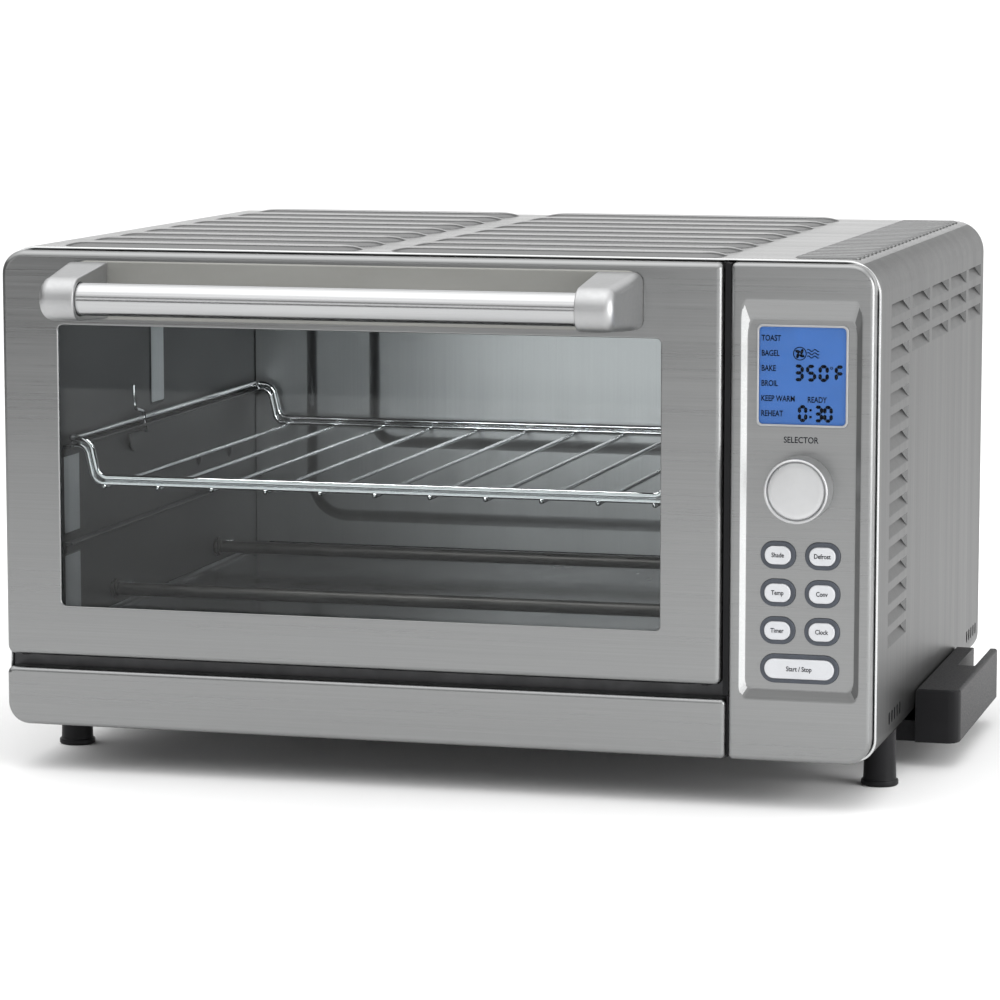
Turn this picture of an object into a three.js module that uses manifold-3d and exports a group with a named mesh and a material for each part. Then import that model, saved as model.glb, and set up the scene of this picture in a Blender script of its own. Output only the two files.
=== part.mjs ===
// Countertop toaster oven with a drop-down glass door, a wire rack, lower and upper heating rods,
// a convection fan and an electronic control column. Millimetres, +Z up, front towards -Y.
// While it is drawn, x runs from the left side, y from the front skins and z from the lowest skin;
// the last lines move the whole assembly to its own origin, the middle of its footprint.
import * as THREE from "three";
import { mergeVertices } from "three/addons/utils/BufferGeometryUtils.js";
import Module from "manifold-3d";

const wasm = await Module();
wasm.setup();

// ---- driving dimensions -------------------------------------------------------------------
const BODY = { width: 486, height: 264, back: 378.7 }; // outer casing
const SHEET = 1.2; // casing and liner sheet
const GAP = 0.3; // clearance between pieces that touch
const TOP_ROUND = 18; // casing's top corners
const LOW_ROUND = 12; // casing's bottom corners
const SKIN_DEPTH = 9.5; // how deep the front skins are folded back
const FRAME_FACE = 11.3; // front face of the inner frame
const FOOT = { height: 26, radius: 9, pad: 10.2, inset: 10.3, front: 84, back: 330 };

const DOOR = { left: 1.8, right: 404.2, bottom: 38.9, top: 262.2 };
const WINDOW = { left: 34.5, right: 371.4, bottom: 67.1, top: 221.9 };
const HINGE = { y: 6, z: 42, pin: 2.4 }; // axis of the drop-down door
const LOWER = { left: 1.8, right: 407, bottom: 0, top: 32 }; // lower front panel
const COLUMN = { left: 408.5, right: 484.3, bottom: 0, top: 262.4 }; // control column
const RECESS = { left: 414.1, right: 478, bottom: 33.2, top: 243.5, depth: 1.5 };
const RECESS_SLOPE = { side: 3, bottom: 5.5, top: 9 };

const HANDLE = { y: -42.5, z: 241.2, bar: 8.8, cap: 11.6, width: 20.2 };
const POST_CENTRES = { left: 53.6, right: 347.2 };

const AXIS_X = 446.4; // middle of the knob, display and start button
const DISPLAY = { z: 204, width: 46.8, height: 52 };
const KNOB = { z: 145.4, radius: 17, front: -14.5 };
const KEY = { width: 14, height: 9.8, round: 4.6, ring: 2.4 };
const START_KEY = { width: 37.2, height: 10.6, round: 5.2, ring: 2.4 };
const KEY_COLUMNS = [434.6, 458.2];
const KEY_ROWS = [109.9, 90, 70];
const KEY_NAMES = [
  ["shade", "defrost"],
  ["temperature", "convection"],
  ["timer", "clock"],
];
const START_Z = 49.9;

const CAVITY = { left: 28, right: 386, front: 13, back: 357.4, floor: 49.6, top: 250 };
const RACK = { front: 27, back: 350, rail: 155.4, floor: 136.2, wire: 1.7, slat: 1.3, pitch: 31.2 };
const RODS = { y: [100, 280], low: 62, high: 236, radius: 3.5 };
const FAN = { y: 215, z: 160, radius: 42 };
const DIVIDER_X = 404.5;
const BRACKET = { front: 137, back: 287, out: 511, bottom: -12, top: 17.9, under: 470 };

// ---- finishes -----------------------------------------------------------------------------
const finish = (color, roughness, metalness, more = {}) => () =>
  new THREE.MeshStandardMaterial({ color, roughness, metalness, ...more });
const brushed = finish(0x9a9b9b, 0.35, 1);
const liner = finish(0x6e7072, 0.4, 0.9);
const darkSteel = finish(0x2e2f30, 0.5, 0.7);
const chrome = finish(0xd8dadc, 0.08, 1);
const satin = finish(0xc9cacb, 0.25, 1);
const blackPlastic = finish(0x232324, 0.5, 0);
const darkRubber = finish(0x41454d, 0.7, 0);
const capPlastic = finish(0xd4d5d7, 0.45, 0);
const clear = finish(0xcfd4d6, 0.05, 0, { transparent: true, opacity: 0.3 });
const backlit = finish(0x4678bb, 0.3, 0, { emissive: 0x2c5fb0 });
const circuit = finish(0x2f5a3c, 0.6, 0);

// ---- solids from three.js geometry --------------------------------------------------------
const toSolid = (geometry) => {
  const bare = geometry.index ? geometry.toNonIndexed() : geometry.clone();
  for (const name of ["normal", "uv"]) bare.deleteAttribute(name);
  const merged = mergeVertices(bare, 1e-3);
  const index = merged.index.array;
  const kept = [];
  for (let i = 0; i < index.length; i += 3) {
    const [a, b, c] = index.slice(i, i + 3);
    if (a !== b && b !== c && c !== a) kept.push(a, b, c);
  }
  return new wasm.Manifold(
    new wasm.Mesh({
      numProp: 3,
      vertProperties: merged.attributes.position.array,
      triVerts: new Uint32Array(kept),
    }),
  );
};

const toGeometry = (solid) => {
  const mesh = solid.getMesh();
  const geometry = new THREE.BufferGeometry();
  geometry.setAttribute("position", new THREE.BufferAttribute(mesh.vertProperties, 3));
  geometry.setIndex(new THREE.BufferAttribute(mesh.triVerts, 1));
  geometry.computeVertexNormals();
  return geometry;
};

const join = (...parts) => toGeometry(parts.map(toSolid).reduce((a, b) => a.add(b)));
const cut = (body, ...tools) =>
  toGeometry(tools.map(toSolid).reduce((a, b) => a.subtract(b), toSolid(body)));

// Rectangle with rounded corners; radii run bottom left, bottom right, top right, top left.
const trace = (path, x0, y0, x1, y1, radii) => {
  const [bl, br, tr, tl] = Array.isArray(radii) ? radii : [radii, radii, radii, radii];
  path.moveTo(x0 + bl, y0);
  path.lineTo(x1 - br, y0);
  if (br) path.absarc(x1 - br, y0 + br, br, -Math.PI / 2, 0);
  path.lineTo(x1, y1 - tr);
  if (tr) path.absarc(x1 - tr, y1 - tr, tr, 0, Math.PI / 2);
  path.lineTo(x0 + tl, y1);
  if (tl) path.absarc(x0 + tl, y1 - tl, tl, Math.PI / 2, Math.PI);
  if (bl) {
    path.lineTo(x0, y0 + bl);
    path.absarc(x0 + bl, y0 + bl, bl, Math.PI, 1.5 * Math.PI);
  }
  return path;
};
const rect = (x0, y0, x1, y1, radii = 0) => trace(new THREE.Shape(), x0, y0, x1, y1, radii);
const hole = (x0, y0, x1, y1, radii = 0) => trace(new THREE.Path(), x0, y0, x1, y1, radii);
const circle = (x, y, r) => new THREE.Shape().absarc(x, y, r, 0, 2 * Math.PI);
const withHoles = (shape, holes) => {
  shape.holes.push(...holes);
  return shape;
};

const extrude = (shape, depth, segments = 4) =>
  new THREE.ExtrudeGeometry(shape, { depth, bevelEnabled: false, curveSegments: segments });
const basis = (x, y, z) => new THREE.Matrix4().makeBasis(x, y, z);
const [X, Y, Z] = [
  new THREE.Vector3(1, 0, 0),
  new THREE.Vector3(0, 1, 0),
  new THREE.Vector3(0, 0, 1),
];
// An outline in X and Z, run from y0 to y1.
const frontal = (shape, y0, y1, segments) =>
  extrude(shape, y1 - y0, segments)
    .applyMatrix4(basis(X, Z, Y.clone().negate()))
    .translate(0, y1, 0);
// An outline in Y and Z, run from x0 to x1.
const sideways = (shape, x0, x1, segments) =>
  extrude(shape, x1 - x0, segments).applyMatrix4(basis(Y, Z, X)).translate(x0, 0, 0);
// An outline in X and Y, run from z0 to z1.
const level = (shape, z0, z1, segments) => extrude(shape, z1 - z0, segments).translate(0, 0, z0);
const box = (x0, y0, z0, x1, y1, z1) =>
  new THREE.BoxGeometry(x1 - x0, y1 - y0, z1 - z0).translate(
    (x0 + x1) / 2,
    (y0 + y1) / 2,
    (z0 + z1) / 2,
  );

// A turned piece: pairs of radius and place along the axis; the outline may run either way round.
const turned = (pairs, sides = 16) => {
  const points = pairs.map(([r, along]) => new THREE.Vector2(r, along));
  if (THREE.ShapeUtils.area(points) < 0) points.reverse();
  return new THREE.LatheGeometry(points, sides);
};
const alongX = (geometry, y, z) => geometry.rotateZ(-Math.PI / 2).translate(0, y, z);
const alongY = (geometry, x, z) => geometry.translate(x, 0, z);
const alongZ = (geometry, x, y) => geometry.rotateX(Math.PI / 2).translate(x, y, 0);

// ---- assembly -----------------------------------------------------------------------------
const oven = new THREE.Group();
const addTo = (group, name, geometry, material) => {
  const mesh = new THREE.Mesh(geometry, material());
  mesh.name = name;
  group.add(mesh);
};
const groups = {};
const add = (groupName, name, geometry, material) => {
  if (!groups[groupName]) {
    groups[groupName] = new THREE.Group();
    oven.add(groups[groupName]);
  }
  addTo(groups[groupName], name, geometry, material);
};

// Outline of the whole casing in X and Z, drawn in by a margin.
const casingOutline = (margin) => {
  const low = LOW_ROUND - margin;
  const high = TOP_ROUND - margin;
  const [x1, z1] = [BODY.width - margin, BODY.height - margin];
  return [margin, margin, x1, z1, [low, low, high, high]];
};

// Long louvres pressed in the side: one column the full height, four more of three rows.
const LOUVRE = { length: 60, height: 7.2, firstY: 42.5, pitchY: 69, topZ: 231.4, pitchZ: 11.75 };
const louvreBoxes = (x0, x1) => {
  const boxes = [];
  for (let column = 0; column < 5; column++) {
    const rows = column === 0 ? 16 : 3;
    const y = LOUVRE.firstY + column * LOUVRE.pitchY;
    const length = Math.min(LOUVRE.length, BODY.back - 10 - y);
    for (let row = 0; row < rows; row++) {
      const z = LOUVRE.topZ - row * LOUVRE.pitchZ;
      boxes.push(box(x0, y, z, x1, y + length, z + LOUVRE.height));
    }
  }
  return boxes;
};

const makeCasing = () => {
  const shell = withHoles(rect(...casingOutline(0)), [hole(...casingOutline(SHEET))]);
  const wrap = frontal(shell, SKIN_DEPTH + 0.5, BODY.back, 5);
  const openBottom = box(30, 0, -5, BODY.width - 30, BODY.back + 5, 5);
  const left = louvreBoxes(-5, 5);
  const right = louvreBoxes(BODY.width - 5, BODY.width + 5);
  add("shell", "casing_wrap", cut(wrap, openBottom, ...left, ...right), brushed);
};

const makeRearPanel = () => {
  const [y0, y1] = [BODY.back - 5, BODY.back + 10];
  const trayMouth = box(28.4, y0, 49.9, 385.6, y1, 54.6);
  const cordHole = frontal(circle(440, 30, 8.4), y0, y1, 8);
  const slots = [];
  for (let row = 0; row < 7; row++) {
    const z = 150 + row * 11;
    slots.push(box(415, y0, z, 470, y1, z + 5));
  }
  const sheet = frontal(rect(...casingOutline(0.6)), BODY.back + GAP, BODY.back + GAP + SHEET, 4);
  add("shell", "rear_panel", cut(sheet, trayMouth, cordHole, ...slots), brushed);
};

const makeBase = () => {
  const sheet = box(13, 14, 1.5, BODY.width - 13, BODY.back - 1, 2.7);
  const slots = [];
  for (let i = 0; i < 5; i++) slots.push(box(414 + i * 11, 60, -5, 419 + i * 11, 330, 5));
  add("shell", "base_plate", cut(sheet, ...slots), darkSteel);
};

const makeFeet = () => {
  const stand = frontal(rect(...casingOutline(-GAP)), 0, BODY.back + 5, 6);
  const places = {
    front_left: [FOOT.inset, FOOT.front],
    front_right: [BODY.width - FOOT.inset, FOOT.front],
    rear_left: [FOOT.inset, FOOT.back],
    rear_right: [BODY.width - FOOT.inset, FOOT.back],
  };
  for (const [place, [x, y]] of Object.entries(places)) {
    const profile = [
      [0, -FOOT.height],
      [FOOT.pad, -FOOT.height],
      [FOOT.pad, -FOOT.height + 2.6],
      [FOOT.radius, -FOOT.height + 4.6],
      [FOOT.radius, 7],
      [0, 7],
    ];
    add("shell", `foot_${place}`, cut(alongZ(turned(profile, 20), x, y), stand), blackPlastic);
  }
};

// Wall spacer and cord hook on the right side, folded under the casing's lower corner.
const makeBracket = () => {
  const { out, bottom, top, under } = BRACKET;
  const side = BODY.width + GAP;
  const round = LOW_ROUND + GAP;
  const profile = new THREE.Shape()
    .moveTo(under, bottom)
    .lineTo(out - 2.5, bottom)
    .lineTo(out, bottom + 2.5)
    .lineTo(out, top - 5.5)
    .lineTo(out - 2.6, top)
    .lineTo(side, top)
    .lineTo(side, LOW_ROUND)
    .absarc(BODY.width - LOW_ROUND, LOW_ROUND, round, 0, -Math.PI / 2, true)
    .lineTo(under, -GAP)
    .closePath();
  const block = frontal(profile, BRACKET.front, BRACKET.back, 6);
  const channel = box(499.5, 225, 4, 507, BRACKET.back + 5, top + 5);
  add("shell", "side_bracket", cut(block, channel), blackPlastic);
};

// ---- front ----------------------------------------------------------------------------------
// A folded pan: a front skin of a given thickness with walls that run back to a depth.
const pan = (x0, z0, x1, z1, radii, thickness, wall, holes = []) => {
  const outer = frontal(withHoles(rect(x0, z0, x1, z1, radii), holes), 0, SKIN_DEPTH - 0.1, 5);
  const inner = radii.map((r) => Math.max(r - wall, 0.5));
  const pocket = rect(x0 + wall, z0 + wall, x1 - wall, z1 - wall, inner);
  return [outer, frontal(pocket, thickness, SKIN_DEPTH + 5, 5)];
};

const makeFrontFrame = () => {
  const openings = [
    hole(CAVITY.left, CAVITY.floor + 0.4, CAVITY.right, CAVITY.top - 0.2, 3),
    hole(412, 6, 480, 256, 3),
  ];
  const face = rect(2, 2, BODY.width - 2, BODY.height - 2, [10, 10, 16, 16]);
  const sheet = withHoles(face, openings);
  add("front", "front_frame", frontal(sheet, FRAME_FACE, FRAME_FACE + SHEET, 4), darkSteel);
  const skin = pan(LOWER.left, LOWER.bottom, LOWER.right, LOWER.top, [12, 1, 1, 4], 1.2, 1.5);
  add("front", "lower_front_panel", cut(...skin), brushed);
};

const roundedKey = (x, z, size, grow) =>
  [
    x - size.width / 2 - grow,
    z - size.height / 2 - grow,
    x + size.width / 2 + grow,
    z + size.height / 2 + grow,
    size.round + grow,
  ];
const keys = [];
KEY_ROWS.forEach((z, row) =>
  KEY_COLUMNS.forEach((x, column) => {
    const name = KEY_NAMES[row][column];
    keys.push({ name: `${name}_button`, x, z, size: KEY });
  }),
);
keys.push({ name: "start_button", x: AXIS_X, z: START_Z, size: START_KEY });

const makeColumn = () => {
  const { left, right, bottom, top, depth } = RECESS;
  // A shallow dish: the outline on the skin closes in towards the floor of the recess.
  const dish = frontal(rect(left, bottom, right, top, 3), -1, depth, 4);
  const place = dish.attributes.position;
  const slope = RECESS_SLOPE;
  for (let i = 0; i < place.count; i++) {
    if (place.getY(i) < depth - 0.01) continue;
    const u = (place.getX(i) - left) / (right - left);
    const v = (place.getZ(i) - bottom) / (top - bottom);
    place.setX(i, left + slope.side + u * (right - left - 2 * slope.side));
    place.setZ(i, bottom + slope.bottom + v * (top - bottom - slope.bottom - slope.top));
  }
  const skin = 3;
  const corners = [1, 13, 13, 1];
  const [outer, pocket] = pan(COLUMN.left, COLUMN.bottom, COLUMN.right, COLUMN.top, corners, skin, 1.5);
  const window = [
    AXIS_X - DISPLAY.width / 2 - GAP,
    DISPLAY.z - DISPLAY.height / 2 - GAP,
    AXIS_X + DISPLAY.width / 2 + GAP,
    DISPLAY.z + DISPLAY.height / 2 + GAP,
    3.3,
  ];
  const openings = [
    frontal(rect(...window), -5, 5),
    frontal(circle(AXIS_X, KNOB.z, 4.5), -5, 5, 8),
    ...keys.map(({ x, z, size }) => frontal(rect(...roundedKey(x, z, size, size.ring + GAP)), -5, 5, 3)),
  ];
  add("column", "control_panel", cut(outer, pocket, dish, ...openings), brushed);
};

const makeDisplay = () => {
  const [w, h] = [DISPLAY.width / 2, DISPLAY.height / 2];
  const lens = rect(AXIS_X - w, DISPLAY.z - h, AXIS_X + w, DISPLAY.z + h, 3);
  add("column", "display_lens", frontal(lens, 1.3, 3.2), clear);
  const module = rect(AXIS_X - w - 2.5, DISPLAY.z - h - 3, AXIS_X + w + 2.5, DISPLAY.z + h + 3, 1);
  add("column", "display_module", frontal(module, 3.6, 7.2, 2), backlit);
};

const makeKeys = () => {
  const plate = frontal(rect(421, 38, 472, 121, 3), 3.3, 4.6, 3);
  const rings = keys.map(({ x, z, size }) => frontal(rect(...roundedKey(x, z, size, size.ring)), 0.4, 4, 3));
  const bores = keys.map(({ x, z, size }) => frontal(rect(...roundedKey(x, z, size, GAP)), -5, 8, 3));
  add("column", "keypad_surround", cut(join(plate, ...rings), ...bores), darkRubber);
  for (const { name, x, z, size } of keys) {
    const cap = frontal(rect(...roundedKey(x, z, size, 0)), -0.7, 5, 3);
    const flange = frontal(rect(...roundedKey(x, z, size, 1.1)), 4.9, 6.2, 3);
    add("keys", name, join(cap, flange), capPlastic);
  }
};

const makeKnob = () => {
  const back = 1.2;
  const { radius, front } = KNOB;
  const profile = [
    [0, -9],
    [3.3, -9],
    [3.3, back - 2],
    [5.4, back - 2],
    [5.4, front + 3],
    [radius - 1.7, front + 3],
    [radius - 1.7, back],
    [radius, back],
    [radius, front + 1.6],
    [radius - 1.8, front],
    [0, front],
  ];
  add("knob", "selector_knob", alongY(turned(profile, 28), AXIS_X, KNOB.z), satin);
  const shaft = [
    [0, 3.7],
    [3, 3.7],
    [3, -8.7],
    [0, -8.7],
  ];
  add("knob", "knob_shaft", alongY(turned(shaft, 12), AXIS_X, KNOB.z), darkSteel);
  const encoder = box(AXIS_X - 7, 4, KNOB.z - 7, AXIS_X + 7, 7.4, KNOB.z + 7);
  add("column", "encoder", encoder, blackPlastic);
};

// ---- door -----------------------------------------------------------------------------------
const makeDoor = () => {
  const { left, right, bottom, top } = DOOR;
  const opening = hole(WINDOW.left, WINDOW.bottom, WINDOW.right, WINDOW.top, 3);
  const notch = (x0, x1) => box(x0, 1.5, bottom - 5, x1, 12, HINGE.z + 18);
  const notches = [notch(3.4, 20), notch(right - 18.2, right - 1.6)];
  const skin = pan(left, bottom, right, top, [5, 2, 3, 13], 1.5, 1.5, [opening]);
  add("door", "door_skin", cut(...skin, ...notches), brushed);
  const glass = rect(WINDOW.left - 9, WINDOW.bottom - 9, WINDOW.right + 9, WINDOW.top + 9, 2);
  add("door", "door_glass", frontal(glass, 1.8, 5.8, 3), clear);
  const inside = withHoles(rect(left + 1.8, bottom + 1.8, right - 1.8, top - 1.8, [3, 1, 1, 11]), [
    hole(WINDOW.left - 3, WINDOW.bottom - 3, WINDOW.right + 3, WINDOW.top + 3, 3),
  ]);
  const lip = withHoles(rect(WINDOW.left - 7, WINDOW.bottom - 7, WINDOW.right + 7, WINDOW.top + 7, 4), [
    hole(WINDOW.left - 3, WINDOW.bottom - 3, WINDOW.right + 3, WINDOW.top + 3, 3),
  ]);
  const back = join(frontal(inside, 8, SKIN_DEPTH - 0.1), frontal(lip, 6.1, 8.5));
  add("door", "door_inner_frame", cut(back, ...notches), liner);
};

const makeHandle = () => {
  const bar = [
    [0, POST_CENTRES.left + 3],
    [HANDLE.bar, POST_CENTRES.left + 3],
    [HANDLE.bar, POST_CENTRES.right - 3],
    [0, POST_CENTRES.right - 3],
  ];
  add("door", "handle_bar", alongX(turned(bar, 24), HANDLE.y, HANDLE.z), satin);
  const { y, z, cap, width } = HANDLE;
  for (const [side, x] of Object.entries(POST_CENTRES)) {
    const arm = new THREE.Shape()
      .moveTo(-1.6, z - 15.6)
      .lineTo(-1.6, z + 16)
      .lineTo(y, z + cap)
      .absarc(y, z, cap, Math.PI / 2, 1.5 * Math.PI)
      .closePath();
    const half = width / 2;
    const base = frontal(rect(x - half - 3, z - 17, x + half + 3, z + 16.6, 4), -1.8, -GAP);
    const facing = side === "left" ? 1 : -1;
    const socket = [
      [0, x + facing * 2.7],
      [HANDLE.bar + GAP, x + facing * 2.7],
      [HANDLE.bar + GAP, x + facing * (half + 2)],
      [0, x + facing * (half + 2)],
    ];
    const bore = alongX(turned(socket, 24), y, z);
    const post = join(sideways(arm, x - half, x + half, 10), base);
    add("door", `handle_post_${side}`, cut(post, bore), satin);
  }
};

// A bracket on the frame carries each pin; an arm inside the door hangs on the pin.
const makeHinges = () => {
  const { y, z, pin } = HINGE;
  for (const [side, x, out] of [
    ["left", 11, 1],
    ["right", DOOR.right - 9.2, -1],
  ]) {
    const ear = withHoles(
      new THREE.Shape()
        .moveTo(y, z - 4)
        .lineTo(FRAME_FACE - GAP, z - 4)
        .lineTo(FRAME_FACE - GAP, z + 16)
        .lineTo(y + 2, z + 16)
        .lineTo(y - 4, z)
        .absarc(y, z, 4, Math.PI, 1.5 * Math.PI)
        .closePath(),
      [new THREE.Path().absarc(y, z, pin + 0.35, 0, 2 * Math.PI)],
    );
    add("front", `hinge_bracket_${side}`, sideways(ear, x - 1.5, x + 1.5, 6), darkSteel);
    const ends = [x - out * 6.5, x + out * 8].sort((a, b) => a - b);
    const rod = [
      [0, ends[0]],
      [pin, ends[0]],
      [pin, ends[1]],
      [0, ends[1]],
    ];
    add("door", `hinge_pin_${side}`, alongX(turned(rod, 16), y, z), chrome);
    const arm = rect(y - 3.8, z - 0.5, y + 1.6, z + 62);
    const armX = x + out * 7;
    const plate = sideways(arm, armX - 1, armX + 1);
    const eye = sideways(circle(y, z, pin + 0.3), armX - 5, armX + 5, 8);
    add("door", `hinge_arm_${side}`, cut(plate, eye), darkSteel);
  }
};

// ---- cavity ---------------------------------------------------------------------------------
const rodHoles = (x) =>
  RODS.y.flatMap((y) =>
    [RODS.low, RODS.high].map((z) => sideways(circle(y, z, 5.6), x - 5, x + 5, 6)),
  );

const makeCavity = () => {
  const { left, right, front, back, floor, top } = CAVITY;
  const wall = rect(front, floor + GAP, back + SHEET, top - GAP);
  add("cavity", "cavity_left_wall", cut(sideways(wall, left - 1.5, left - GAP), ...rodHoles(left)), liner);
  const fanHole = sideways(circle(FAN.y, FAN.z, 40), right - 5, right + 5, 12);
  const probeHole = sideways(circle(330, 225, 3.4), right - 5, right + 5, 6);
  const rightWall = sideways(wall, right + GAP, right + 1.5);
  add("cavity", "cavity_right_wall", cut(rightWall, ...rodHoles(right), fanHole, probeHole), liner);
  add("cavity", "cavity_back", box(left, back, floor + 5.4, right, back + SHEET, top - GAP), liner);
  const roof = box(left - 1.5, front, top, right + 1.5, back + SHEET, top + SHEET);
  add("cavity", "cavity_top", roof, liner);
  const base = box(left - 1.5, front, floor - SHEET, right + 1.5, back + SHEET, floor);
  add("cavity", "cavity_floor", base, liner);
};

const makeGuides = () => {
  for (const [level, z] of [
    ["upper", RACK.rail - RACK.wire - 0.5],
    ["lower", 99],
  ]) {
    for (const [side, wall, out] of [
      ["left", CAVITY.left, 1],
      ["right", CAVITY.right, -1],
    ]) {
      const outline = new THREE.Shape()
        .moveTo(wall, z - 6)
        .lineTo(wall + out * 1.2, z - 6)
        .lineTo(wall + out * 1.2, z - 1.4)
        .lineTo(wall + out * 5.2, z - 1.4)
        .lineTo(wall + out * 5.2, z)
        .lineTo(wall, z)
        .closePath();
      add("cavity", `${level}_guide_${side}`, frontal(outline, 22, 352), liner);
    }
  }
};

const wireAlong = (points, radius, steps, sides = 6) => {
  const section = new THREE.Shape();
  for (let i = 0; i < sides; i++) {
    const angle = (2 * Math.PI * i) / sides;
    section[i ? "lineTo" : "moveTo"](radius * Math.cos(angle), radius * Math.sin(angle));
  }
  const knots = points.map((p) => new THREE.Vector3(...p));
  const curve = new THREE.CatmullRomCurve3(knots, false, "centripetal");
  return new THREE.ExtrudeGeometry(section, { steps, extrudePath: curve, bevelEnabled: false });
};

const solidRod = (start, end, radius, sides) =>
  turned([[0, start], [radius, start], [radius, end], [0, end]], sides);

const makeRack = () => {
  const { front, back, rail, floor, wire, slat, pitch } = RACK;
  const middle = (CAVITY.left + CAVITY.right) / 2;
  const reach = middle - CAVITY.left - 3.6;
  const rod = (x) => alongY(solidRod(front - 1, back + 1, wire, 8), x, rail);
  const pieces = [rod(middle - reach), rod(middle + reach)];
  for (const y of [front, back]) {
    for (const out of [-1, 1]) {
      const bend = [
        [reach + 0.5, rail],
        [reach - 5, rail],
        [reach - 9, rail - 4],
        [reach - 12, floor + 4],
        [reach - 17, floor],
        [reach - 24, floor],
      ];
      pieces.push(wireAlong(bend.map(([d, z]) => [middle + out * d, y, z]), wire, 11));
    }
    const [x0, x1] = [middle - reach + 23, middle + reach - 23];
    pieces.push(alongX(solidRod(x0, x1, wire, 8), y, floor));
    pieces.push(alongX(solidRod(48, 366, 1.2, 6), y, floor - 3.1));
  }
  for (let i = -5; i <= 5; i++) {
    const x = middle + i * pitch;
    pieces.push(alongY(solidRod(front - 1.6, back + 1.6, slat, 6), x, floor - 1.7));
  }
  add("rack", "wire_rack", join(...pieces), chrome);
};

const makeRods = () => {
  const { left, right } = CAVITY;
  RODS.y.forEach((y, index) => {
    for (const [level, z] of [
      ["lower", RODS.low],
      ["upper", RODS.high],
    ]) {
      const profile = [
        [0, left - 9],
        [7.4, left - 9],
        [7.4, left - 1.8],
        [5.2, left - 1.8],
        [5.2, left + 3.4],
        [RODS.radius, left + 3.4],
        [RODS.radius, right - 3.4],
        [5.2, right - 3.4],
        [5.2, right + 1.8],
        [7.4, right + 1.8],
        [7.4, right + 9],
        [0, right + 9],
      ];
      const name = `${level}_element_${index ? "rear" : "front"}`;
      add("cavity", name, alongX(turned(profile, 14), y, z), darkSteel);
    }
  });
};

const makeCrumbTray = () => {
  const { left, right, floor } = CAVITY;
  const z = floor + 0.4;
  const sheet = box(left + 1, 16, z, right - 1, 356, z + 3.4);
  const pocket = box(left + 2.2, 17.2, z + 1, right - 2.2, 354.8, z + 9);
  const tongue = box(62, 355, z, 352, 381.2, z + 1);
  const lip = box(62, 380.9, z - 8, 352, 382.3, z + 10);
  add("tray", "crumb_tray", cut(join(sheet, tongue, lip), pocket), liner);
};

// ---- control compartment ----------------------------------------------------------------------
const makeFan = () => {
  const { y, z, radius } = FAN;
  const hub = alongX(turned([[2.9, 391], [9, 391], [9, 401], [2.9, 401], [2.9, 391]], 16), y, z);
  const blades = [];
  for (let i = 0; i < 6; i++) {
    const blade = box(-5, -1, 7.5, 5, 1, radius).rotateZ(0.6).translate(396, 0, 0);
    blades.push(blade.rotateX((i * Math.PI) / 3).translate(0, y, z));
  }
  add("fan", "fan_wheel", join(hub, ...blades), satin);
  add("fan", "fan_shaft", alongX(solidRod(390, 414, 2.5, 12), y, z), chrome);
  const motor = [
    [3, 406.2],
    [26, 406.2],
    [28, 408],
    [28, 432],
    [24, 435],
    [0, 435],
    [0, 415],
    [3, 415],
    [3, 406.2],
  ];
  add("column", "fan_motor", alongX(turned(motor, 20), y, z), darkSteel);
  const slots = [];
  for (let i = 0; i < 8; i++) {
    const angle = (i * Math.PI) / 4;
    slots.push([y + 26 * Math.cos(angle), z + 26 * Math.sin(angle), 7]);
  }
  slots.push([y, z, 9]);
  const disc = circle(y, z, 46);
  disc.holes.push(...slots.map(([a, b, r]) => new THREE.Path().absarc(a, b, r, 0, 2 * Math.PI)));
  add("cavity", "fan_grille", sideways(disc, 387.8, 389, 10), liner);
};

const makeElectronics = () => {
  const shaftHole = hole(FAN.y - 5, FAN.z - 5, FAN.y + 5, FAN.z + 5, 4.9);
  const shield = withHoles(rect(13, 3, 377, 261), [shaftHole]);
  add("column", "compartment_divider", sideways(shield, DIVIDER_X, DIVIDER_X + SHEET), darkSteel);
  add("column", "control_board", box(416, 7.7, 38, 477, 9.2, 240), circuit);
  const board = box(474, 60, 40, 475.6, 200, 150);
  const relays = [70, 100, 130].map((y) => box(458, y, 50, 474.5, y + 22, 66));
  const transformer = box(448, 160, 50, 474.5, 192, 84);
  const capacitor = box(462, 80, 100, 474.5, 96, 124);
  add("column", "power_board", join(board, ...relays, transformer, capacitor), circuit);
  const gland = [
    [4.2, 374],
    [8, 374],
    [8, 380.6],
    [11, 380.6],
    [11, 384],
    [6.5, 388],
    [4.2, 388],
    [4.2, 374],
  ];
  add("shell", "cord_gland", alongY(turned(gland, 16), 440, 30), blackPlastic);
  const probe = [[0, 362], [1.6, 362], [1.6, 380], [3, 380], [3, 387.8], [6, 387.8], [6, 392], [0, 392]];
  add("cavity", "temperature_probe", alongX(turned(probe, 12), 330, 225), satin);
};

makeCasing();
makeRearPanel();
makeBase();
makeFeet();
makeBracket();
makeFrontFrame();
makeColumn();
makeDisplay();
makeKeys();
makeKnob();
makeDoor();
makeHandle();
makeHinges();
makeCavity();
makeGuides();
makeRack();
makeRods();
makeCrumbTray();
makeFan();
makeElectronics();

// Origin at the middle of the footprint, on the surface that the feet stand on.
const FRONT_MOST = HANDLE.y - HANDLE.cap;
const REAR_MOST = 388;
oven.position.set(-BRACKET.out / 2, -(FRONT_MOST + REAR_MOST) / 2, FOOT.height);

export default oven;
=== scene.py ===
"""Countertop toaster oven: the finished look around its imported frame.

Sizes in the code are millimetres in the oven's own layout: x from the left side, y from the front
skins towards the back, z from the lowest skin. `at` turns them into the frame's metres.
"""

import math

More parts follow.
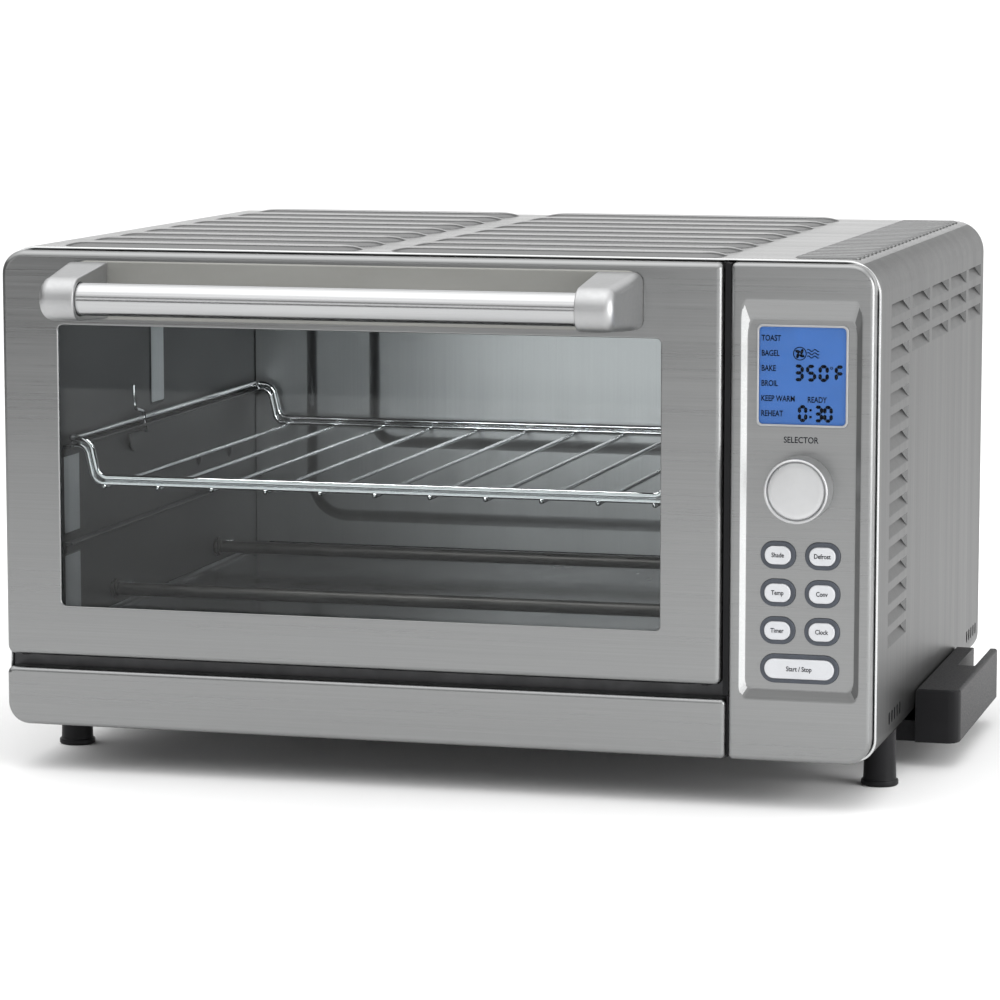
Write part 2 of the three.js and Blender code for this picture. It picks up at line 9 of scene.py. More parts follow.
import bmesh
import bpy
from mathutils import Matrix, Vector


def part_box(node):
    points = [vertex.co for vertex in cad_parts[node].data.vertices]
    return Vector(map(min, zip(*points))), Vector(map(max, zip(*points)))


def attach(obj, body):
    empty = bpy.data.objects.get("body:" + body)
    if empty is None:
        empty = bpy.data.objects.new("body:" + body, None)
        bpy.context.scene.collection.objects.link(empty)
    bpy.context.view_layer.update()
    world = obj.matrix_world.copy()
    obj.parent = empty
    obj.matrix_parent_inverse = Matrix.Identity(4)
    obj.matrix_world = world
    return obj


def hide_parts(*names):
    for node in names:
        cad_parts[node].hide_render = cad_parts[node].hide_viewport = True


bl_info = {
    "name": "Toaster Oven",
    "version": (1, 0, 0),
    "blender": (4, 5, 0),
    "location": "View3D > Sidebar > Toaster Oven",
    "description": "Builds a stainless countertop toaster oven piece by piece around its packed frame",
    "category": "Object",
}

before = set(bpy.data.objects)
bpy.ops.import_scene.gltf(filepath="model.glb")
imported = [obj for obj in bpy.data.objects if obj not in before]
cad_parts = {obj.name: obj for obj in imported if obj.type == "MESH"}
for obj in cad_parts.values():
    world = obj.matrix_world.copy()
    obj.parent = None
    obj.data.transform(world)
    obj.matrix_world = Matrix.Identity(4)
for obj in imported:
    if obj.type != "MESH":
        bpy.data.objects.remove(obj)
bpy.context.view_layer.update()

MM = 0.001
ZERO = Vector((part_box("casing_wrap")[0].x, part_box("door_skin")[0].y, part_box("casing_wrap")[0].z))
WIDE, TALL, BACK = 486.0, 264.0, 378.7  # the wrap-round sheet
CORD = (440.0, 30.0)  # middle of the cord gland, across and up
PRINT_DEEP = 0.12


def at(x, y, z):
    """The frame's point for a place in the oven's own millimetres."""
    return ZERO + Vector((x, y, z)) * MM


def spot(co):
    """The oven's own millimetres for a point of a mesh."""
    return (co - ZERO) / MM


# ---- sizes and colours a user would change --------------------------------------------------


def length(name, description, millimetres):
    return bpy.props.FloatProperty(
        name=name,
        description=description,
        default=millimetres * MM,
        min=0.0,
        soft_max=0.05,
        precision=5,
        unit="LENGTH",
    )


def colour(name, description, default):
    return bpy.props.FloatVectorProperty(
        name=name, description=description, default=default, size=3, subtype="COLOR", min=0.0, max=1.0
    )


class OvenFinishes(bpy.types.PropertyGroup):
    steel: colour("Steel", "Brushed stainless steel of the outside", (0.265, 0.268, 0.268))
    liner: colour("Liner", "Bright sheet inside the cavity", (0.30, 0.305, 0.31))
    chrome: colour("Chrome", "Plated wires and pins", (0.75, 0.76, 0.77))
    satin: colour("Satin", "Handle and knob", (0.62, 0.625, 0.63))
    heater: colour("Heater", "Oxidised sheath of the heating rods", (0.055, 0.052, 0.05))
    plastic: colour("Plastic", "Black feet, bracket and gland", (0.010, 0.010, 0.011))
    key_ring: colour("Key ring", "Slate surround of the keys", (0.045, 0.052, 0.066))
    key_cap: colour("Key cap", "Silver grey key caps", (0.55, 0.56, 0.58))
    display: colour("Display", "Blue lit display", (0.040, 0.132, 0.410))
    print: colour("Print", "Printed words and digits", (0.004, 0.005, 0.009))
    steel_rough: bpy.props.FloatProperty(
        name="Steel roughness",
        description="How dull the brushed steel is",
        default=0.3,
        min=0.0,
        max=1.0,
        subtype="FACTOR",
    )


class OvenSizes(bpy.types.PropertyGroup):
    panel_round: length("Panel edge", "Rounding of the front panels' edges", 2.6)
    rib_height: length("Rib height", "Height of the ribs pressed in the top", 2.0)
    louvre_depth: length("Louvre depth", "How far the louvres are pressed in", 3.6)
    wire: length("Rack wire", "Radius of the rack's main wires", 1.75)
    slat: length("Rack slat", "Radius of the rack's thin cross wires", 1.25)
    words: length("Word height", "Height of the printed words on the display", 3.1)


def finishes():
    return bpy.context.scene.oven_finishes


def size(name):
    """One of the sizes, in millimetres."""
    return getattr(bpy.context.scene.oven_sizes, name) / MM


# ---- making pieces ----------------------------------------------------------------------------


def clear():
    """Back to object mode with nothing selected."""
    if bpy.context.mode != "OBJECT":
        bpy.ops.object.mode_set(mode="OBJECT")
    bpy.ops.object.select_all(action="DESELECT")


def only(piece):
    """Selects one piece and makes it the active one."""
    clear()
    piece.select_set(True)
    bpy.context.view_layer.objects.active = piece


def settle(piece, name=None):
    """Puts the piece's place in its mesh, so its object sits at the origin."""
    only(piece)
    bpy.ops.object.transform_apply(location=True, rotation=True, scale=True)
    if name:
        piece.name = name
        piece.data.name = name
    return piece


def block(name, low, high):
    """A box between two corners, to be shaped further."""
    clear()
    a, b = at(*low), at(*high)
    bpy.ops.mesh.primitive_cube_add(size=1, location=(a + b) / 2, scale=b - a)
    return settle(bpy.context.object, name)


TURN = {"x": (0, math.pi / 2, 0), "y": (-math.pi / 2, 0, 0), "z": (0, 0, 0)}


def rod(name, start, end, radius, axis, sides=32):
    """A cylinder along an axis, from one point to another."""
    clear()
    a, b = at(*start), at(*end)
    bpy.ops.mesh.primitive_cylinder_add(
        radius=radius * MM,
        depth=(b - a).length,
        vertices=sides,
        location=(a + b) / 2,
        rotation=TURN[axis],
    )
    return settle(bpy.context.object, name)


def pick(piece, kind, test):
    """Enters edit mode with exactly the vertices, edges or faces chosen by the test."""
    only(piece)
    bpy.ops.object.mode_set(mode="EDIT")
    bpy.ops.mesh.select_mode(type=kind)
    bpy.ops.mesh.select_all(action="DESELECT")
    mesh = bmesh.from_edit_mesh(piece.data)
    items = {"VERT": mesh.verts, "EDGE": mesh.edges, "FACE": mesh.faces}[kind]
    for item in items:
        if test(item):
            item.select_set(True)
    bmesh.update_edit_mesh(piece.data)


def ends(edge):
    return spot(edge.verts[0].co), spot(edge.verts[1].co)


def facing(direction, where=lambda c: True):
    """Test for faces whose normal points along a direction and whose centre is in a place."""
    way = Vector(direction)
    return lambda f: f.normal.dot(way) > 0.99 and where(spot(f.calc_center_median()))


def bevel_picked(width, segments=4):
    """Rounds the picked edges and leaves edit mode."""
    bpy.ops.mesh.bevel(offset=width * MM, segments=segments, affect="EDGES", clamp_overlap=False)
    bpy.ops.object.mode_set(mode="OBJECT")


def round_corners(piece, axis, radii, segments=8):
    """Rounds the four edges along an axis. Radii: bottom left, bottom right, top right, top left,
    as seen along the axis, with left the low side."""
    i = "xyz".index(axis)
    u, v = [k for k in range(3) if k != i]
    points = [spot(p.co) for p in piece.data.vertices]
    low = [min(p[k] for p in points) for k in range(3)]
    high = [max(p[k] for p in points) for k in range(3)]
    corners = [(low[u], low[v]), (high[u], low[v]), (high[u], high[v]), (low[u], high[v])]
    for (cu, cv), radius in zip(corners, radii):
        if radius <= 0:
            continue

        def here(edge, cu=cu, cv=cv):
            return all(abs(p[u] - cu) < 0.01 and abs(p[v] - cv) < 0.01 for p in ends(edge))

        pick(piece, "EDGE", here)
        bevel_picked(radius, segments)
    return piece


def plate(name, low, high, radii, segments=8, axis="y"):
    """A box whose edges along an axis are rounded."""
    return round_corners(block(name, low, high), axis, radii, segments)


def rim(axis, value, where=lambda a, b: True):
    """Test for the edges that bound a flat face at a level on an axis."""
    i = "xyz".index(axis)

    def test(edge):
        a, b = ends(edge)
        if abs(a[i] - value) > 0.01 or abs(b[i] - value) > 0.01 or not where(a, b):
            return False
        flat = [abs(f.normal[i]) > 0.99 for f in edge.link_faces]
        return any(flat) and not all(flat)

    return test


def soften(piece, level, width, segments=4):
    """Rounds the rim of a piece's face at a level in y."""
    pick(piece, "EDGE", rim("y", level))
    bevel_picked(width, segments)


def modify(piece, kind, **settings):
    """Adds a modifier and applies it."""
    only(piece)
    modifier = piece.modifiers.new(kind.lower(), kind)
    for key, value in settings.items():
        setattr(modifier, key, value)
    bpy.ops.object.modifier_apply(modifier=modifier.name)
    return piece


def carve(piece, *tools, operation="DIFFERENCE"):
    """Cuts the tools out of a piece, or joins them to it, and deletes them."""
    for tool in tools:
        modify(piece, "BOOLEAN", operation=operation, object=tool, solver="EXACT")
        bpy.data.objects.remove(tool, do_unlink=True)
    return piece


def merge(name, pieces):
    """Several meshes as one piece."""
    clear()
    for piece in pieces:
        piece.select_set(True)
    bpy.context.view_layer.objects.active = pieces[0]
    bpy.ops.object.join()
    piece = bpy.context.object
    piece.name = name
    piece.data.name = name
    return piece


def copy_by(piece, dx=0.0, dy=0.0, dz=0.0, name=None):
    """A copy with its own mesh, moved by some millimetres."""
    only(piece)
    bpy.ops.object.duplicate(linked=False)
    copy = bpy.context.object
    copy.location = Vector((dx, dy, dz)) * MM
    return settle(copy, name or piece.name)


def outward(piece):
    """Turns every face outwards."""
    pick(piece, "FACE", lambda f: True)
    bpy.ops.mesh.normals_make_consistent(inside=False)
    bpy.ops.object.mode_set(mode="OBJECT")
    return piece


def smooth(piece, degrees=35):
    only(piece)
    bpy.ops.object.shade_smooth_by_angle(angle=math.radians(degrees))
    return piece


def finish(piece, body, name, replaces=(), angle=35):
    """Shades a piece, gives it its coat and says which body it rides and which CAD nodes it replaces."""
    smooth(piece, angle)
    modify(piece, "WEIGHTED_NORMAL", keep_sharp=True)
    piece.data.materials.clear()
    piece.data.materials.append(coat(name))
    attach(piece, body)
    if replaces:
        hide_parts(*replaces)
    return piece


def lathe(name, pairs, centre, axis, sides=48):
    """A turned piece: pairs of radius and place along the axis, spun round it.

    The outline starts as one vertex that is extruded from pair to pair."""
    i = "xyz".index(axis)
    out = (i + 1) % 3

    def point(radius, along):
        p = list(centre)
        p[i] = along
        p[out] += radius
        return at(*p)

    piece = chain(name, [point(*pair) for pair in pairs])
    bpy.ops.mesh.select_all(action="SELECT")
    turn = [0.0, 0.0, 0.0]
    turn[i] = 1.0
    bpy.ops.mesh.spin(steps=sides, angle=2 * math.pi, center=at(*centre), axis=turn)
    bpy.ops.mesh.select_all(action="SELECT")
    bpy.ops.mesh.remove_doubles(threshold=0.00001)
    bpy.ops.mesh.normals_make_consistent(inside=False)
    bpy.ops.object.mode_set(mode="OBJECT")
    return piece


def chain(name, points):
    """A line of vertices through points, left open in edit mode; it starts as one corner of a plane."""
    clear()
    bpy.ops.mesh.primitive_plane_add(size=MM, location=(0, 0, 0))
    piece = bpy.context.object
    piece.name = name
    piece.data.name = name
    pick(piece, "VERT", lambda v: v.index > 0)
    bpy.ops.mesh.delete(type="VERT")
    mesh = bmesh.from_edit_mesh(piece.data)
    mesh.verts.ensure_lookup_table()
    mesh.verts[0].co = points[0]
    mesh.verts[0].select_set(True)
    bmesh.update_edit_mesh(piece.data)
    for before, after in zip(points, points[1:]):
        step = Vector(after) - Vector(before)
        bpy.ops.mesh.extrude_region_move(TRANSFORM_OT_translate={"value": step})
    return piece


def wire(name, points, radius, sides=12, cyclic=False):
    """A round wire along points in mm."""
    piece = chain(name, [at(*p) for p in points])
    if cyclic:
        mesh = bmesh.from_edit_mesh(piece.data)
        for v in mesh.verts:
            v.select_set(len(v.link_edges) == 1)
        bmesh.update_edit_mesh(piece.data)
        bpy.ops.mesh.edge_face_add()
    bpy.ops.object.mode_set(mode="OBJECT")
    bpy.ops.object.convert(target="CURVE")
    curve = bpy.context.object.data
    curve.bevel_depth = radius * MM
    curve.bevel_resolution = max(1, sides // 4 - 1)
    curve.use_fill_caps = True
    bpy.ops.object.convert(target="MESH")
    piece = bpy.context.object
    pick(piece, "FACE", lambda f: True)
    bpy.ops.mesh.remove_doubles(threshold=0.00001)
    bpy.ops.mesh.normals_make_consistent(inside=False)
    bpy.ops.object.mode_set(mode="OBJECT")
    piece.name = name
    piece.data.name = name
    return piece


def lettering(name, words, x, z, y, height, body="chassis", align="CENTER", narrow=0.76, bold=0.09):
    """Printed words on a surface that faces the front; x and z are the middle of the line."""
    clear()
    bpy.ops.object.text_add(location=at(x, y, z), rotation=(math.pi / 2, 0, 0))
    line = bpy.context.object
    line.data.body = words
    line.data.size = height * 1.38 * MM
    line.data.align_x = align
    line.data.align_y = "CENTER"
    line.data.extrude = PRINT_DEEP / 2 * MM
    line.data.offset = bold * MM
    line.data.resolution_u = 4
    line.scale = (narrow, 1, 1)
    bpy.ops.object.convert(target="MESH")
    piece = settle(bpy.context.object, name)
    return finish(piece, body, "ink", angle=30)


# ---- finishes -----------------------------------------------------------------------------------


class Nodes:
    """A short way to write a material's nodes."""

    def __init__(self, name):
        self.material = bpy.data.materials.new(name)
        self.material.use_nodes = True
        self.tree = self.material.node_tree
        self.shader = self.tree.nodes["Principled BSDF"]

    def add(self, kind):
        return self.tree.nodes.new(kind)

    def link(self, source, target):
        self.tree.links.new(source, target)

    def noise(self, scale, detail=3.0, rough=0.55):
        """Noise on the piece's own coordinates; one number, or three along x, y and z."""
        place = self.add("ShaderNodeTexCoord")
        mapping = self.add("ShaderNodeMapping")
        mapping.inputs["Scale"].default_value = scale if isinstance(scale, tuple) else (scale,) * 3
        self.link(place.outputs["Object"], mapping.inputs["Vector"])
        node = self.add("ShaderNodeTexNoise")
        node.inputs["Scale"].default_value = 1.0
        node.inputs["Detail"].default_value = detail
        node.inputs["Roughness"].default_value = rough
        self.link(mapping.outputs["Vector"], node.inputs["Vector"])
        return node.outputs["Fac"]

    def spread(self, source, low, high, start=0.3, stop=0.7):
        node = self.add("ShaderNodeMapRange")
        node.inputs["From Min"].default_value = start
        node.inputs["From Max"].default_value = stop
        node.inputs["To Min"].default_value = low
        node.inputs["To Max"].default_value = high
        self.link(source, node.inputs["Value"])
        return node.outputs["Result"]

    def tint(self, source, colour_a, colour_b, start=0.3, stop=0.7):
        node = self.add("ShaderNodeValToRGB")
        ramp = node.color_ramp
        ramp.elements[0].position = start
        ramp.elements[0].color = (*colour_a, 1)
        ramp.elements[1].position = stop
        ramp.elements[1].color = (*colour_b, 1)
        self.link(source, node.inputs["Fac"])
        return node.outputs["Color"]

    def cover(self, source, colour_a, colour_b, start=0.3, stop=0.7):
        """Base colour between two colours."""
        self.link(self.tint(source, colour_a, colour_b, start, stop), self.shader.inputs["Base Color"])

    def dull(self, source, low, high, start=0.3, stop=0.7):
        """Roughness between two values."""
        self.link(self.spread(source, low, high, start, stop), self.shader.inputs["Roughness"])

    def bump(self, source, strength, distance):
        node = self.add("ShaderNodeBump")
        node.inputs["Strength"].default_value = strength
        node.inputs["Distance"].default_value = distance
        self.link(source, node.inputs["Height"])
        self.link(node.outputs["Normal"], self.shader.inputs["Normal"])

    def set(self, **values):
        for key, value in values.items():
            self.shader.inputs[key.replace("_", " ")].default_value = value


def shade(colour_value, factor):
    return tuple(min(1.0, c * factor) for c in colour_value)


def brushed(name, base, rough, grain, spread=0.04, bump=0.1, glance=1.0):
    """Brushed sheet: long fine scratches along the grain over broad, faint clouding."""
    n = Nodes(name)
    along = {"x": (9, 1500, 1500), "y": (1500, 9, 1500), "z": (1500, 1500, 9)}[grain]
    broad = tuple(1.2 if a == 9 else 60 for a in along)
    fine = n.noise(along, 4, 0.6)
    cloud = n.noise(broad, 3, 0.5)
    both = n.add("ShaderNodeMath")
    both.operation = "ADD"
    n.link(n.spread(fine, -0.5, 0.5, 0.25, 0.75), both.inputs[0])
    n.link(n.spread(cloud, 0.2, 0.8, 0.25, 0.75), both.inputs[1])
    n.cover(both.outputs[0], shade(base, 0.94), shade(base, 1.06), 0.0, 1.0)
    n.dull(both.outputs[0], rough - spread, rough + spread, 0, 1)
    n.bump(fine, bump, 0.00004)
    n.set(Metallic=1.0, Anisotropic=0.55)
    n.shader.inputs["Specular Tint"].default_value = (glance, glance, glance, 1)
    way = n.add("ShaderNodeCombineXYZ")
    way.inputs["XYZ".index(grain.upper())].default_value = 1.0
    n.link(way.outputs[0], n.shader.inputs["Tangent"])
    return n.material


def steel_front(name):
    return brushed(name, finishes().steel, finishes().steel_rough, "x")


# Painted shade: the brushed steel at half its brightness, with a dimmed grazing tint, stands for the shade
# on the casing's sides and on the recess's right slope.
def painted_shade_side_steel(name):
    return brushed(name, shade(finishes().steel, 0.5), finishes().steel_rough + 0.04, "z", 0.05, 0.1, 0.68)


# Painted light: the brushed steel made a tenth brighter, with a dimmed grazing tint, stands for the light
# falling on the casing's top.
def painted_light_top_steel(name):
    return brushed(name, shade(finishes().steel, 1.1), 0.2, "x", 0.05, 0.1, 0.62)


# Painted highlight: the brushed steel at 2.3 times its brightness stands for the glint on the casing's
# rolled hem and on the recess's left slope.
def painted_highlight_steel(name):
    return brushed(name, shade(finishes().steel, 2.3), 0.24, "x", 0.04, 0.05)


def liner_sheet(name):
    n = Nodes(name)
    base = finishes().liner
    smear = n.noise((14, 14, 22), 4, 0.6)
    n.cover(smear, shade(base, 0.85), shade(base, 1.1))
    n.dull(smear, 0.2, 0.33)
    n.bump(n.noise(90, 2, 0.5), 0.06, 0.0002)
    n.set(Metallic=1.0)
    return n.material


def dark_sheet(name):
    n = Nodes(name)
    n.cover(n.noise(40), (0.05, 0.05, 0.052), (0.08, 0.08, 0.083))
    n.dull(n.noise(180), 0.4, 0.55)
    n.set(Metallic=0.6)
    return n.material


def chrome_wire(name):
    n = Nodes(name)
    base = finishes().chrome
    n.cover(n.noise(60), shade(base, 0.94), base)
    n.dull(n.noise(120), 0.05, 0.11)
    n.set(Metallic=1.0)
    return n.material


def satin_metal(name):
    return brushed(name, shade(finishes().satin, 0.72), 0.2, "x", 0.04, 0.08)


def satin_cast(name, factor=0.68):
    n = Nodes(name)
    base = shade(finishes().satin, factor)
    n.cover(n.noise(30), shade(base, 0.93), shade(base, 1.05))
    n.dull(n.noise(400, 2), 0.38, 0.48)
    n.bump(n.noise(1800, 2), 0.08, 0.00003)
    n.set(Metallic=1.0)
    return n.material


def satin_knob(name):
    return satin_cast(name, 0.9)


def heater_sheath(name):
    n = Nodes(name)
    base = finishes().heater
    scale = n.noise((35, 260, 260), 5, 0.65)
    n.cover(scale, shade(base, 0.6), shade(base, 1.7))
    n.dull(scale, 0.3, 0.5)
    n.bump(scale, 0.25, 0.0001)
    n.set(Metallic=0.85)
    return n.material


def black_plastic(name):
    n = Nodes(name)
    base = finishes().plastic
    n.cover(n.noise(25), shade(base, 0.85), shade(base, 1.25))
    grain = n.noise(1400, 2, 0.5)
    n.dull(grain, 0.36, 0.5)
    n.bump(grain, 0.25, 0.00008)
    n.set(Specular_IOR_Level=0.14)
    return n.material


def key_ring(name):
    n = Nodes(name)
    base = finishes().key_ring
    n.cover(n.noise(90), shade(base, 0.85), shade(base, 1.2))
    n.dull(n.noise(900), 0.42, 0.55)
    return n.material


def key_cap(name):
    n = Nodes(name)
    base = finishes().key_cap
    n.cover(n.noise(150), shade(base, 0.97), shade(base, 1.03))
    n.dull(n.noise(1500), 0.36, 0.48)
    n.set(Metallic=0.15)
    return n.material


def print_ink(name):
    n = Nodes(name)
    base = finishes().print
    n.cover(n.noise(300), base, shade(base, 1.5))
    n.set(Roughness=0.8, Specular_IOR_Level=0.1)
    return n.material


def display_cover(name):
    return clear_glass(name, 1.12)


def clear_glass(name, ior=1.3):
    """Thin clear pane: what is behind it shows straight through, with a faint mirror on top."""
    n = Nodes(name)
    n.tree.nodes.remove(n.shader)
    through_it = n.add("ShaderNodeBsdfTransparent")
    through_it.inputs["Color"].default_value = (0.93, 0.95, 0.95, 1)
    mirror = n.add("ShaderNodeBsdfGlossy")
    mirror.inputs["Roughness"].default_value = 0.02
    edge = n.add("ShaderNodeFresnel")
    edge.inputs["IOR"].default_value = ior
    both = n.add("ShaderNodeMixShader")
    n.link(edge.outputs[0], both.inputs[0])
    n.link(through_it.outputs[0], both.inputs[1])
    n.link(mirror.outputs[0], both.inputs[2])
    n.link(both.outputs[0], n.tree.nodes["Material Output"].inputs["Surface"])
    return n.material


def lit_display(name):
    n = Nodes(name)
    base = finishes().display
    glow = n.tint(n.noise(60, 2), shade(base, 0.93), shade(base, 1.06))
    n.link(glow, n.shader.inputs["Base Color"])
    n.link(glow, n.shader.inputs["Emission Color"])
    n.set(Roughness=0.35, Emission_Strength=0.35)
    return n.material


def circuit_board(name):
    n = Nodes(name)
    n.cover(n.noise(200), (0.01, 0.07, 0.03), (0.02, 0.12, 0.05))
    n.set(Roughness=0.45)
    return n.material


def floor_card(name):
    n = Nodes(name)
    n.cover(n.noise(3, 2), (0.86, 0.86, 0.86), (0.88, 0.88, 0.88))
    n.set(Roughness=0.9)
    return n.material


def handle_pad(name):
    n = Nodes(name)
    n.cover(n.noise((12, 40, 40)), (0.235, 0.235, 0.22), (0.275, 0.275, 0.26))
    n.dull(n.noise(300), 0.42, 0.52)
    n.bump(n.noise(900, 2), 0.1, 0.00003)
    n.set(Metallic=0.35)
    return n.material


def strip_sheet(name):
    return brushed(name, shade(finishes().liner, 2.9), 0.5, "z", 0.05, 0.1)


def wall_sheet(name):
    """Dull oxidised side walls of the cavity."""
    n = Nodes(name)
    smear = n.noise((10, 10, 16), 4, 0.6)
    n.cover(smear, (0.085, 0.085, 0.086), (0.125, 0.125, 0.127))
    n.dull(smear, 0.34, 0.5)
    n.bump(n.noise(160, 2), 0.05, 0.0001)
    n.set(Metallic=0.8)
    return n.material


def floor_sheet(name):
    n = Nodes(name)
    smear = n.noise((8, 5, 8), 5, 0.62)
    n.cover(smear, (0.02, 0.02, 0.021), (0.07, 0.072, 0.076))
    n.dull(smear, 0.12, 0.3)
    n.bump(n.noise(45, 3), 0.1, 0.0003)
    n.set(Metallic=1.0)
    return n.material


def back_sheet(name):
    return brushed(name, shade(finishes().liner, 1.5), 0.38, "z", 0.05, 0.1)


COATS = {
    "brushed_front": ("steel_brushed", steel_front),
    # Lit and shaded copies of the one brushed steel follow: painted shade, painted light and painted
    # highlight.
    "brushed_painted_shade": ("steel_brushed", painted_shade_side_steel),
    "brushed_painted_light": ("steel_brushed", painted_light_top_steel),
    "brushed_painted_highlight": ("steel_brushed", painted_highlight_steel),
    "liner": ("steel_liner", liner_sheet),
    "wall": ("steel_liner", wall_sheet),
    "strip": ("steel_liner", strip_sheet),
    "back_liner": ("steel_liner", back_sheet),
    "floor_sheet": ("steel_liner", floor_sheet),
    "dark": ("steel_dark", dark_sheet),
    "chrome": ("chrome_wire", chrome_wire),
    "satin": ("handle_satin", satin_metal),
    "satin_cast": ("handle_satin", satin_cast),
    "satin_knob": ("handle_satin", satin_knob),
    "pad": ("handle_satin", handle_pad),
    "heater": ("heater_sheath", heater_sheath),
    "black": ("black_plastic", black_plastic),
    "ink": ("black_plastic", print_ink),
    "ring": ("key_surround", key_ring),
    "cap": ("key_cap", key_cap),
    "glass": ("window_glass", clear_glass),
    "display_cover": ("window_glass", display_cover),
    "display": ("display_blue", lit_display),
    "board": ("circuit_green", circuit_board),
}
MADE = {}


def coat(name):
    """A coat's material, made when it is first asked for."""
    if name not in MADE:
        MADE[name] = COATS[name][1](name)
    return MADE[name]


def second_coat(piece, name, test):
    """Gives another coat to the faces that pass a test of their centre, in mm, and their normal."""
    piece.data.materials.append(coat(name))
    index = len(piece.data.materials) - 1
    for polygon in piece.data.polygons:
        if test(spot(polygon.center), polygon.normal):
            polygon.material_index = index


# ---- pieces ---------------------------------------------------------------------------------------


def slice_faces(piece, test, axis, values):
    """Cuts the chosen faces along planes across an axis."""
    i = "xyz".index(axis)
    way = [0.0, 0.0, 0.0]
    way[i] = 1.0
    for value in values:
        p = [0.0, 0.0, 0.0]
        p[i] = value
        pick(piece, "FACE", test)
        bpy.ops.mesh.bisect(plane_co=at(*p), plane_no=way)
    bpy.ops.object.mode_set(mode="OBJECT")


def press(piece, direction, steps):
    """Raises or sinks the face that looks along a direction, in small steps of width and rise."""
    pick(piece, "FACE", facing(direction))
    for width, rise in steps:
        bpy.ops.mesh.inset(thickness=width * MM, depth=rise * MM, use_individual=True)
    bpy.ops.object.mode_set(mode="OBJECT")
    return piece


def open_face(piece, direction):
    pick(piece, "FACE", facing(direction))
    bpy.ops.mesh.delete(type="FACE")
    bpy.ops.object.mode_set(mode="OBJECT")


def fold(skin, thick=1.0):
    """Opens the back of a solid skin and gives what is left the thickness of sheet."""
    open_face(skin, (0, 1, 0))
    modify(skin, "SOLIDIFY", thickness=thick * MM, offset=-1.0, use_even_offset=True)


def copies(piece, places):
    """The piece and its copies, so that one stands at each place; the first place is its own."""
    first = Vector(places[0])
    return [piece] + [copy_by(piece, *(Vector(p) - first), "copy") for p in places[1:]]


def ribs(x0, x1, first, last, count, width, corner, steps):
    """Raised ribs with round ends across one stretch of the top: one is shaped, the rest are copies."""
    pitch = (last - first) / (count - 1)
    low = (x0, first - width / 2, TALL - 0.9)
    high = (x1, first + width / 2, TALL + 0.02)
    rib = press(plate("rib", low, high, (corner,) * 4, 6, "z"), (0, 0, 1), steps)
    return copies(rib, [(0, k * pitch, 0) for k in range(count)])


LOUVRE_FIRST = 42.5
LOUVRE_STEP = 69.0
LOUVRE_LENGTH = 60.0
LOUVRE_TOP = 238.9
LOUVRE_PITCH = 11.75
LOUVRE_TALL = 7.4
LOUVRE_ROWS = (16, 3, 3, 3, 3)
LOUVRE_LAST = 368.0


def pressed_louvres(sheet, side):
    """Louvres pressed in one side: each leans in towards a slit at its top."""
    out = (side, 0, 0)
    columns = []
    for k, rows in enumerate(LOUVRE_ROWS):
        y0 = LOUVRE_FIRST + k * LOUVRE_STEP
        columns.append((y0, min(y0 + LOUVRE_LENGTH, LOUVRE_LAST), rows))
    slice_faces(sheet, facing(out), "y", [y for y0, y1, _ in columns for y in (y0, y1)])
    for y0, y1, rows in columns:
        tops = [LOUVRE_TOP - r * LOUVRE_PITCH for r in range(rows)]
        slice_faces(
            sheet,
            facing(out, lambda c: y0 < c.y < y1),
            "z",
            [z for top in tops for z in (top, top - LOUVRE_TALL)],
        )

    def is_louvre(c):
        for y0, y1, rows in columns:
            if y0 < c.y < y1:
                row = (LOUVRE_TOP - LOUVRE_TALL / 2 - c.z) / LOUVRE_PITCH
                return -0.3 < row < rows - 0.7 and abs(row - round(row)) < 0.1
        return False

    pick(sheet, "FACE", facing(out, is_louvre))
    bpy.ops.mesh.inset(thickness=0.5 * MM, depth=-0.25 * MM, use_individual=True)
    mesh = bmesh.from_edit_mesh(sheet.data)
    depth = size("louvre_depth") * MM
    walls = []
    for face in [f for f in mesh.faces if f.select]:
        middle = face.calc_center_median()
        upper = [v for v in face.verts if v.co.z > middle.z]
        for v in upper:
            v.co.x -= side * depth
            v.co.y += (4.5 * MM) * (1 if v.co.y < middle.y else -1)
        for edge in face.edges:
            if all(v in upper for v in edge.verts):
                walls += [f for f in edge.link_faces if f is not face]
    bmesh.update_edit_mesh(sheet.data)
    bpy.ops.mesh.select_all(action="DESELECT")
    for wall in walls:
        wall.select_set(True)
    bmesh.update_edit_mesh(sheet.data)
    bpy.ops.mesh.delete(type="ONLY_FACE")
    bpy.ops.object.mode_set(mode="OBJECT")


